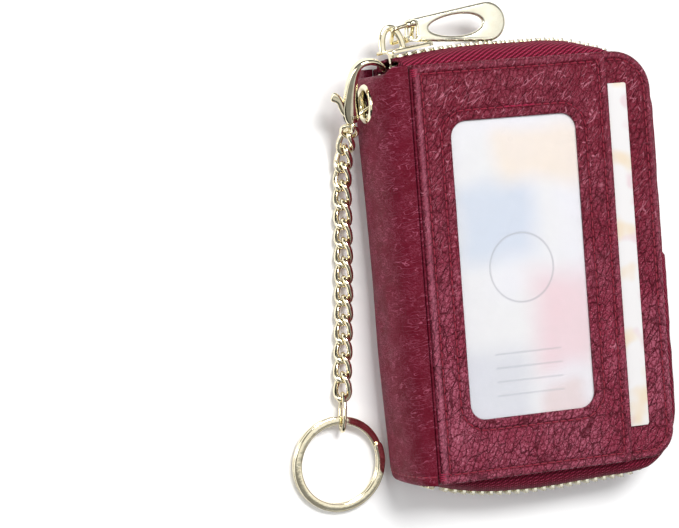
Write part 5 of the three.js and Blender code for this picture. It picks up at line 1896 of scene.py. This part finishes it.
@dataclass
class Chain:
    """Jump ring, twisted curb links, end link and split ring, lying down to the ground."""

    jump_radius: float = 1.95
    jump_wire: float = 1.1
    jump_lean: float = 21.0
    link_length: float = 7.45
    link_width: float = 5.0
    wire: float = 1.2
    cad_twist: float = 48.0
    shown_length: float = 7.9
    shown_width: float = 5.0
    shown_wire: float = 1.38
    blunt: float = 0.84
    twist: float = -54.0
    link_roll: float = 50.0
    link_lift: float = 0.95
    side_swell: float = 0.04
    count: int = 14
    end_length: float = 10.3
    end_width: float = 5.4
    end_wire: float = 1.1
    end_lean: float = 84.0
    end_rise: float = 12.0
    ring_outer: float = 24.0
    band: float = 2.0
    leaf: float = 1.0
    leaf_gap: float = 0.12
    split_turn: float = 155.0
    fit: float = 0.3
    lay_gap: float = 0.1
    first_heading: float = -91.5
    last_heading: float = -97.0
    drape: tuple[float, ...] = (-50.0, -40.0, -28.0, -15.0)

    def way(self, share: float, slope: float) -> Vector:
        """The direction at a share of the way along the chain, with a slope in radians."""
        turn = math.radians(blend_value(self.first_heading, self.last_heading, share))
        level = math.cos(slope)
        return Vector((level * math.cos(turn), level * math.sin(turn), math.sin(slope)))

    @staticmethod
    def aimed(point: Vector, way: Vector, roll: float = 0.0) -> Matrix:
        """A placing with X along a way and Y level, then rolled about X by degrees."""
        side = UP.cross(way).normalized()
        return placing(point, way, side, way.cross(side)) @ turn_about("X", roll)

    def oval_link(self, length: float, width: float, wire: float, middle: float, twist: float = 0.0,
                  blunt: float = 1.0) -> bmesh.types.BMesh:
        """An oval link of wire, its middle a way along X.

        Args:
            length, width: its outside.
            wire: its wire.
            middle: where its middle is along X.
            twist: how far it is twisted about X, in degrees.
            blunt: below 1, how square its ends are.

        Returns:
            The mesh.
        """
        half_x, half_y = (length - wire) / 2, (width - wire) / 2
        steps = 44
        turns = [math.tau * i / steps for i in range(steps)]
        points, ups = [], []
        for turn in turns:
            lean = math.radians(twist) * math.cos(turn)
            across, reach = (half * math.copysign(abs(part) ** blunt, part)
                             for half, part in ((half_y, math.sin(turn)), (half_x, math.cos(turn))))
            points.append(Vector((reach + middle, across * math.cos(lean),
                                  across * math.sin(lean))))
            ups.append(Vector((0.0, -math.sin(lean), math.cos(lean))))
        rings = []
        for i, (turn, point) in enumerate(zip(turns, points)):
            along = (points[(i + 1) % steps] - points[i - 1]).normalized()
            across = ups[i].cross(along).normalized()
            high = along.cross(across)
            fat = wire / 2 * (1 + self.side_swell * math.sin(turn) ** 2)
            rings.append([point + across * a + high * b
                          for a, b in oval_section(fat, wire / 2, 16, 2.3)])
        return skin(rings, loop=True)

    def lie(self) -> float:
        """The height of a curb link's middle when it lies on the ground."""
        twist = math.radians(self.cad_twist)
        half = (self.link_width - self.wire) / 2
        turns = [math.tau * i / 60 for i in range(60)]
        high = max(half * math.sin(t) * math.sin(twist * math.cos(t)) for t in turns)
        return high + self.wire / 2 + self.lay_gap

    def split_ring(self) -> bmesh.types.BMesh:
        """Two flat turns of band with a step between them and chamfered ends."""
        radius = (self.ring_outer - self.band) / 2
        step, blend, steps = 0.1, 0.08, 190
        section = oval_section(self.band / 2, self.leaf / 2, 20, 4.5)
        rings = []
        for i in range(steps + 1):
            share = blend_value(step, 2 - step, i / steps)
            turn = math.tau * share
            level = (self.leaf + self.leaf_gap) * (ease(share, 1 - blend, 1 + blend) - 0.5)
            slim = 1.0 if 0 < i < steps else 0.82
            rings.append([Vector(((radius + a * slim) * math.cos(turn),
                                  (radius + a * slim) * math.sin(turn), level + b * slim))
                          for a, b in section])
        return skin(rings)

    def jump_ring(self) -> bmesh.types.BMesh:
        """The jump ring, from the eye on along X."""
        path = arc(self.jump_radius, 0.0, self.jump_radius, math.pi, -math.tau, 44)[:-1]
        section = oval_section(self.jump_wire / 2, self.jump_wire / 2, 14)
        return swept(path, lambda i: section, UP, loop=True)

    def curb_links(self, joint: Vector) -> Vector:
        """Makes the curb links from a joint on.

        Args:
            joint: where the first one hangs.

        Returns:
            The place of the joint after the last one.
        """
        pitch = self.link_length - 2 * self.wire - self.fit
        lie = self.lie()
        for i in range(self.count):
            slope = math.asin(max(-1.0, min(1.0, (lie - joint.z) / pitch)))
            if i == self.count - 1:
                slope = math.radians(self.end_rise) / 2
            if i + 1 < len(self.drape):
                slope = math.radians(self.drape[i + 1])
            after = joint + self.way(i / self.count, slope) * pitch
            start, end = (point + UP * (self.link_lift * ease(place, 0.0, 3.0))
                          for point, place in ((joint, i), (after, i + 1)))
            bm = self.oval_link(self.shown_length, self.shown_width, self.shown_wire, pitch / 2,
                                self.twist, self.blunt)
            put(bm, self.aimed(start, (end - start).normalized(), self.link_roll))
            number = f"{i + 1:02d}"
            finished(f"CurbLink{number}", bm, Ware.GOLD, f"chain_{number}",
                     [f"chain_link_{number}"])
            joint = after
        return joint

    def build(self, eye: Vector) -> None:
        """Makes every link from the clasp's eye down."""
        way = self.way(0.0, math.radians(self.drape[0]))
        jump = put(self.jump_ring(), self.aimed(eye, way, self.jump_lean))
        finished("JumpRing", jump, Ware.GOLD, "jump", ["jump_ring"])
        drop = 2 * self.jump_radius - (self.wire + self.jump_wire) / 4 - self.fit / 2
        joint = self.curb_links(eye + way * drop)
        way = self.way(1.0, math.radians(self.end_rise))
        span = self.end_length - self.end_wire - (self.wire + self.end_wire) / 2 - self.fit
        link = self.oval_link(self.end_length, self.end_width, self.end_wire, span / 2)
        start = joint + UP * self.link_lift
        aim = (joint + way * span - start).normalized()
        put(link, self.aimed(start, aim, -self.end_lean))
        finished("EndLink", link, Ware.GOLD, "end_link", ["end_link"])
        joint = joint + way * (self.end_length - 1.5 * self.wire - self.end_wire - self.band / 2
                               - 1.5 * self.fit)
        radius = (self.ring_outer - self.band) / 2
        rest = self.leaf + self.leaf_gap / 2 + self.lay_gap
        way = self.way(1.0, -math.asin((joint.z - rest) / (2 * radius)))
        place = self.aimed(joint, way) @ Matrix.Translation((radius, 0, 0))
        ring = put(self.split_ring(), place @ turn_about("Z", self.split_turn))
        finished("SplitRing", ring, Ware.GOLD, "ring", ["split_ring"])


# ---------------------------------------------------------------- inside


@dataclass
class Accordion:
    """Twelve lining leaves hinged along the spine, and the gussets that join their ends."""

    count: int = 12
    depth: float = 50.2
    half: float = 43.6
    pivot_inset: float = 1.2
    start: float = 1.0
    thickness: float = 0.3
    hem: float = 1.6
    hem_thickness: float = 0.5
    gusset_start: float = 9.0
    gusset_depth: float = 4.5
    wall: float = 0.11
    open_turn: float = 72.0
    reach: float = 34.0

    def leaf(self, height: float) -> bmesh.types.BMesh:
        """One leaf with a folded hem at its mouth."""
        x0, x1 = (WALLET.crease_x + self.pivot_inset + step for step in (self.start, self.depth))
        hem, fat_hem = x1 - self.hem, self.hem_thickness / self.thickness
        stops = [(x0, 0.5), (x0 + 3, 1.0), (hem - 0.5, 1.0), (hem, 1.0), (hem + 0.25, fat_hem),
                 (x1 - 0.35, fat_hem), (x1, 0.7)]
        line = [blend_value(-self.half, self.half, i / 40) for i in range(41)]
        rings = []
        for x, fat in stops:
            half = self.thickness / 2 * fat
            rings.append([Vector((x, y, height + half)) for y in line]
                         + [Vector((x, y, height - half)) for y in reversed(line)])
        return skin(rings)

    def gusset(self, low: float, high: float) -> bmesh.types.BMesh:
        """The two folded end walls between one height and the next."""
        bm = bmesh.new()
        x0 = WALLET.crease_x + self.gusset_start
        x1 = WALLET.crease_x + self.pivot_inset + self.depth - 0.4
        middle = (low + high) / 2
        for side in (-1, 1):
            rings = []
            for i in range(13):
                x = blend_value(x0, x1, i / 12)
                fold = self.gusset_depth * ease(i / 12, -0.6, 0.5)
                spine = [(-0.15, low), (fold * 0.55, blend_value(low, middle, 0.45)),
                         (fold, middle), (fold * 0.55, blend_value(high, middle, 0.45)),
                         (-0.15, high)]
                rings.append([Vector((x, side * (self.half + y + wall), z))
                              for wall, run in ((-self.wall, spine), (self.wall, spine[::-1]))
                              for y, z in run])
            skin(rings, into=bm)
        return bm

    def build(self) -> None:
        """Makes the leaves and the gussets."""
        w = WALLET
        pitch = (w.front_inside - w.back_inside) / (self.count + 1)
        for k in range(1, self.count + 1):
            leaf = self.leaf(w.back_inside + k * pitch)
            finished(f"Leaf{k:02d}", leaf, Ware.LINING, f"leaf_{k:02d}", [f"pocket_leaf_{k:02d}"])
        for k in range(self.count + 1):
            low, high = w.back_inside + k * pitch, w.back_inside + (k + 1) * pitch
            piece = finished(f"Gusset{k + 1:02d}", self.gusset(low + 0.1, high - 0.1),
                             Ware.LINING, None)
            span = pitch / (1 - self.lower_share(k, pitch))
            (high - span) * MM
            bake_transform(piece)

    def lower_share(self, k: int, pitch: float) -> float:
        """Where the smooth turn from the back cover to a leaf has gone as far as the leaf below it.

        Args:
            k: how many leaves are below.
            pitch: from leaf to leaf.

        Returns:
            The share of the turn's run.
        """
        if k == 0:
            return 0.0
        step = math.radians(self.open_turn) / (self.count + 1)
        slip = pitch * (1 - math.cos(step * k)) / self.reach
        wanted = (step * k - slip) / (step * (k + 1))
        low, high = 0.0, 1.0
        for _ in range(40):
            middle = (low + high) / 2
            low, high = (middle, high) if ease(middle, 0.0, 1.0) < wanted else (low, middle)
        return (low + high) / 2


@dataclass
class Linings:
    """The linings inside both covers and the coin pocket's zip."""

    inset: float = 1.5
    lining: float = 0.35
    tape_x: float = 25.25
    tape_width: float = 9.0
    tape_half: float = 42.0
    coil_half: float = 39.0
    coil_pitch: float = 0.95
    coil_height: float = 3.72
    slider_y: float = -32.0
    slider_height: float = 4.25
    slider_half: tuple[float, float] = (3.3, 4.0)
    slider_thickness: float = 2.1
    pull_height: float = 6.05
    pull_half: float = 2.5
    pull_length: float = 13.0
    pull_hole: tuple[float, float] = (10.5, 1.5)

    def build(self) -> None:
        """Makes the linings and the coin pocket's zip."""
        w = WALLET
        end = w.half_length - self.inset
        outline = Outline(w.crease_x + 0.3, w.fore_x - self.inset, -end, end, (9.5, 9.5, 0.4, 0.4),
                          40, 60, 8)
        for name, body, low in (("Front", "front", w.front_inside),
                                ("Back", "wallet_back", w.back_inside - self.lining)):
            slab = rounded_slab(outline, low, low + self.lining, 0.15)
            finished(f"{name}Lining", slab, Ware.LINING, body, [f"{name.lower()}_lining"])
        finished("CoinTape", self.tape(), Ware.COIN_TAPE, "wallet_back", ["coin_zip_tape"])
        finished("CoinCoil", self.coil(), Ware.COIL, "wallet_back", ["coin_zip_coil"])
        finished("CoinSlider", self.slider(), Ware.GOLD, "coin_slider", ["coin_slider"])
        finished("CoinPull", self.pull(), Ware.GOLD, "coin_pull", ["coin_pull"])

    def tape(self) -> bmesh.types.BMesh:
        """The coin zip's tape, raised a little under the coil."""
        wide = self.tape_width / 2
        half = [(-wide, 2.62), (0.3 - wide, 2.98), (-2.6, 3.0), (-2.3, 3.05)]
        section = half + [(-a, b) for a, b in reversed(half)]
        places = [blend_value(-self.tape_half, self.tape_half, i / 84) for i in range(85)]
        return skin([[Vector((self.tape_x + a, y, b)) for a, b in section] for y in places],
                    lays=[[Vector((y, a, 9.0)) for a, b in section] for y in places])

    def coil(self) -> bmesh.types.BMesh:
        """Two wound coils that meet in the middle, each on a cord."""
        bm = bmesh.new()
        half, steps = self.coil_half, 8
        count = int(half * 2 / self.coil_pitch) * steps
        for side in (-1, 1):
            path = []
            for i in range(count + 1):
                turn = math.tau * i / steps
                path.append(Vector((self.tape_x + side * (0.95 + 0.85 * math.cos(turn)),
                                    blend_value(-half, half, i / count),
                                    self.coil_height + 0.42 * math.sin(turn))))
            swept(path, lambda i: oval_section(0.17, 0.17, 5), Vector((0, 0.3, 1)), into=bm)
        for line in (-1.75, 1.75):
            path = [Vector((self.tape_x + line, blend_value(-half, half, i / 60), 3.5))
                    for i in range(61)]
            swept(path, lambda i: oval_section(0.3, 0.25, 8), UP, into=bm)
        return bm

    def slider(self) -> bmesh.types.BMesh:
        """The coin zip's slider with its arch."""
        x, y = self.slider_half
        outline = Outline(-x, x, -y, y, (1.2,) * 4, 8, 10, 8).ring(0.0, 0.0)
        shell = pierced_plate(outline, [], self.slider_thickness, 0.4)
        bm = carved(shell, box_tool((-2.4, -5.0, -2.0), (2.4, 5.0, 0.35)))
        put(bm, Matrix.Translation((0, 0, self.slider_height)))
        turns = [math.pi * i / 24 for i in range(25)]
        path = [Vector((0.0, 2.05 * math.cos(t), 5.1 + 1.9 * math.sin(t))) for t in turns]
        arch = swept(path, lambda i: oval_section(0.7, 0.35, 12, 3.0), Vector((1, 0, 0)))
        return put(joined(bm, arch), Matrix.Translation((self.tape_x, self.slider_y, 0)))

    def pull(self) -> bmesh.types.BMesh:
        """The coin zip's pull with its slot and its hole."""
        half, (hole, radius) = self.pull_half, self.pull_hole
        outline = Outline(-half, half, -0.5, self.pull_length, (0.6, 2.4, 2.4, 0.6), 8, 16, 8)
        gap = Outline(-1.5, 1.5, 0.5, 3.2, (0.3,) * 4, 6, 6, 3).ring(0.0, 0.0)[::-1]
        round_hole = arc(0.0, hole, radius, 0.0, -math.tau, 28)[:-1]
        bm = pierced_plate(outline.ring(0.0, 0.0), [gap, round_hole], 1.0, 0.3)
        return put(bm, Matrix.Translation((self.tape_x, self.slider_y, self.pull_height)))


# ---------------------------------------------------------------- studio


@dataclass
class Studio:
    """White floor, soft light from beyond the slider end, and the camera of the photograph."""

    azimuth: float = 20.69
    elevation: float = 3.30
    roll: float = -4.33
    distance: float = 686.0
    focal_pixels: float = 2819.8
    aim: Vector = field(default_factory=lambda: Vector((-49.3, 5.4, 12.5)))
    sensor: float = 36.0
    glow: float = 0.06
    paint: float = 0.98
    far_paint: float = 0.1
    sky: float = 0.31
    sky_stops: tuple = ((0.3, (0.02, 0.02, 0.02, 1.0)), (0.62, (0.85, 0.85, 0.86, 1.0)))
    lamps: tuple = (
        ("TopSoftbox", (0.02, 0.42, 0.95), (0.4, 0.3), 8.7),
        ("LeftWall", (-0.95, 0.05, 0.3), (0.9, 0.42), 1.2),
        ("RightWall", (0.95, 0.0, 0.3), (0.9, 0.42), 0.9),
        ("LeftStrip", (-0.75, 0.1, 0.55), (0.25, 0.9), 2.2),
        ("FrontFill", (0.38, -0.66, 0.68), (0.5, 0.4), 0.25),
        ("HighPanel", (0.36, -0.02, 0.95), (0.7, 0.7), 1.25),
    )

    def camera(self) -> None:
        """Sets the camera where the photograph was taken from."""
        az, el, roll = (math.radians(v) for v in (self.azimuth, self.elevation, self.roll))
        back = Vector((-math.sin(az) * math.cos(el), math.sin(el), math.cos(az) * math.cos(el)))
        right = Vector((0, 1, 0)).cross(back).normalized()
        up = back.cross(right)
        level = right * math.cos(roll) + up * math.sin(roll)
        rise = -right * math.sin(roll) + up * math.cos(roll)
        data = bpy.data.cameras.new("Camera")
        data.sensor_fit = "HORIZONTAL"
        data.sensor_width = self.sensor
        data.lens = self.focal_pixels * self.sensor / IMAGE_WIDTH
        data.clip_start, data.clip_end = 0.01, 20.0
        camera = bpy.data.objects.new("Camera", data)
        turn = Matrix((level, rise, back)).transposed().to_4x4()
        camera.matrix_world = Matrix.Translation((self.aim + back * self.distance) * MM) @ turn
        bpy.context.scene.collection.objects.link(camera)
        bpy.context.scene.camera = camera

    @staticmethod
    def lamp(name: str, place: Sequence[float], size: tuple[float, float], power: float) -> None:
        """A soft rectangular lamp that faces the wallet.

        Args:
            name: its name.
            place: where it stands, in metres.
            size: its width and height in metres.
            power: in watts.
        """
        data = bpy.data.lights.new(name, "AREA")
        data.shape = "RECTANGLE"
        data.size, data.size_y = size
        data.energy = power
        lamp = bpy.data.objects.new(name, data)
        lamp.location = place
        way = Vector((0, 0, 0.01)) - Vector(place)
        lamp.rotation_euler = way.to_track_quat("-Z", "Y").to_euler()
        bpy.context.scene.collection.objects.link(lamp)

    def floor(self) -> None:
        """A white floor that shows white to the camera and in the metal, and keeps the shadow."""
        bm = bmesh.new()
        bmesh.ops.create_grid(bm, x_segments=1, y_segments=1, size=4.0)
        mesh = die_from(put(bm, Matrix.Translation((0, 0, -0.0001))), "Floor")
        floor = bpy.data.objects.new("Floor", mesh)
        bpy.context.scene.collection.objects.link(floor)
        material = bpy.data.materials.new("studio_floor")
        pot = DyePot(material)
        path = pot.node("ShaderNodeLightPath")
        camera = pot.wire(path, "Is Camera Ray")
        glossy, through = pot.wire(path, "Is Glossy Ray"), pot.wire(path, "Is Transmission Ray")
        seen = camera.most(glossy).most(through)
        x, y, _ = pot.parts(pot.place())
        far = ((x ** 2 + y ** 2) ** 0.5).eased(210.0, 460.0) * (1 - camera)
        glow = pot.node("ShaderNodeEmission", None, {0: (self.glow,) * 3 + (1.0,), 1: 1.0})
        paint, dark = (pot.node("ShaderNodeBsdfDiffuse", None, {0: (grey,) * 3 + (1.0,)})
                       for grey in (self.paint, self.far_paint))
        both = pot.node("ShaderNodeAddShader", None, {0: pot.wire(glow), 1: pot.wire(paint)})
        near = pot.node("ShaderNodeMixShader", None,
                        {0: seen, 1: pot.wire(paint), 2: pot.wire(both)})
        pick = pot.node("ShaderNodeMixShader", None, {0: far, 1: pot.wire(near), 2: pot.wire(dark)})
        pot.pour("ShaderNodeOutputMaterial", pick)
        mesh.materials.append(material)

    def world(self) -> None:
        """A room that is dim below and white above."""
        world = bpy.data.worlds.new("Studio")
        bpy.context.scene.world = world
        pot = DyePot(world)
        *_, up = pot.parts(pot.wire(pot.node("ShaderNodeTexCoord"), "Generated"))
        ramp = pot.node("ShaderNodeValToRGB", {"stops": self.sky_stops}, {0: up})
        light = pot.node("ShaderNodeBackground", None, {0: pot.wire(ramp), 1: self.sky})
        pot.pour("ShaderNodeOutputWorld", light)

    def build(self) -> None:
        """Sets up the studio."""
        bpy.context.scene.view_settings.view_transform = "Standard"
        self.camera()
        self.floor()
        self.world()
        for lamp in self.lamps:
            self.lamp(*lamp)


def dress_boards() -> None:
    """Gives the hidden boards, which keep their CAD shapes, their pulp finish."""
    for name in ("front_board", "back_board"):
        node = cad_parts[name]
        node.data.materials.clear()
        node.data.materials.append(Ware.BOARD.material())
        log.info("%s keeps its CAD shape", name)


def main() -> None:
    """Builds the wallet from the outside in, then the studio."""
    logging.basicConfig(level=logging.INFO, format="%(name)s: %(message)s")
    for part in (Covers(), WindowPanel(), SpineCover(), ShownCard(), MainZip(), Slider()):
        part.build()
    Chain().build(Clasp().build())
    Accordion().build()
    Linings().build()
    dress_boards()
    Studio().build()


if __name__ == "__main__":
    main()
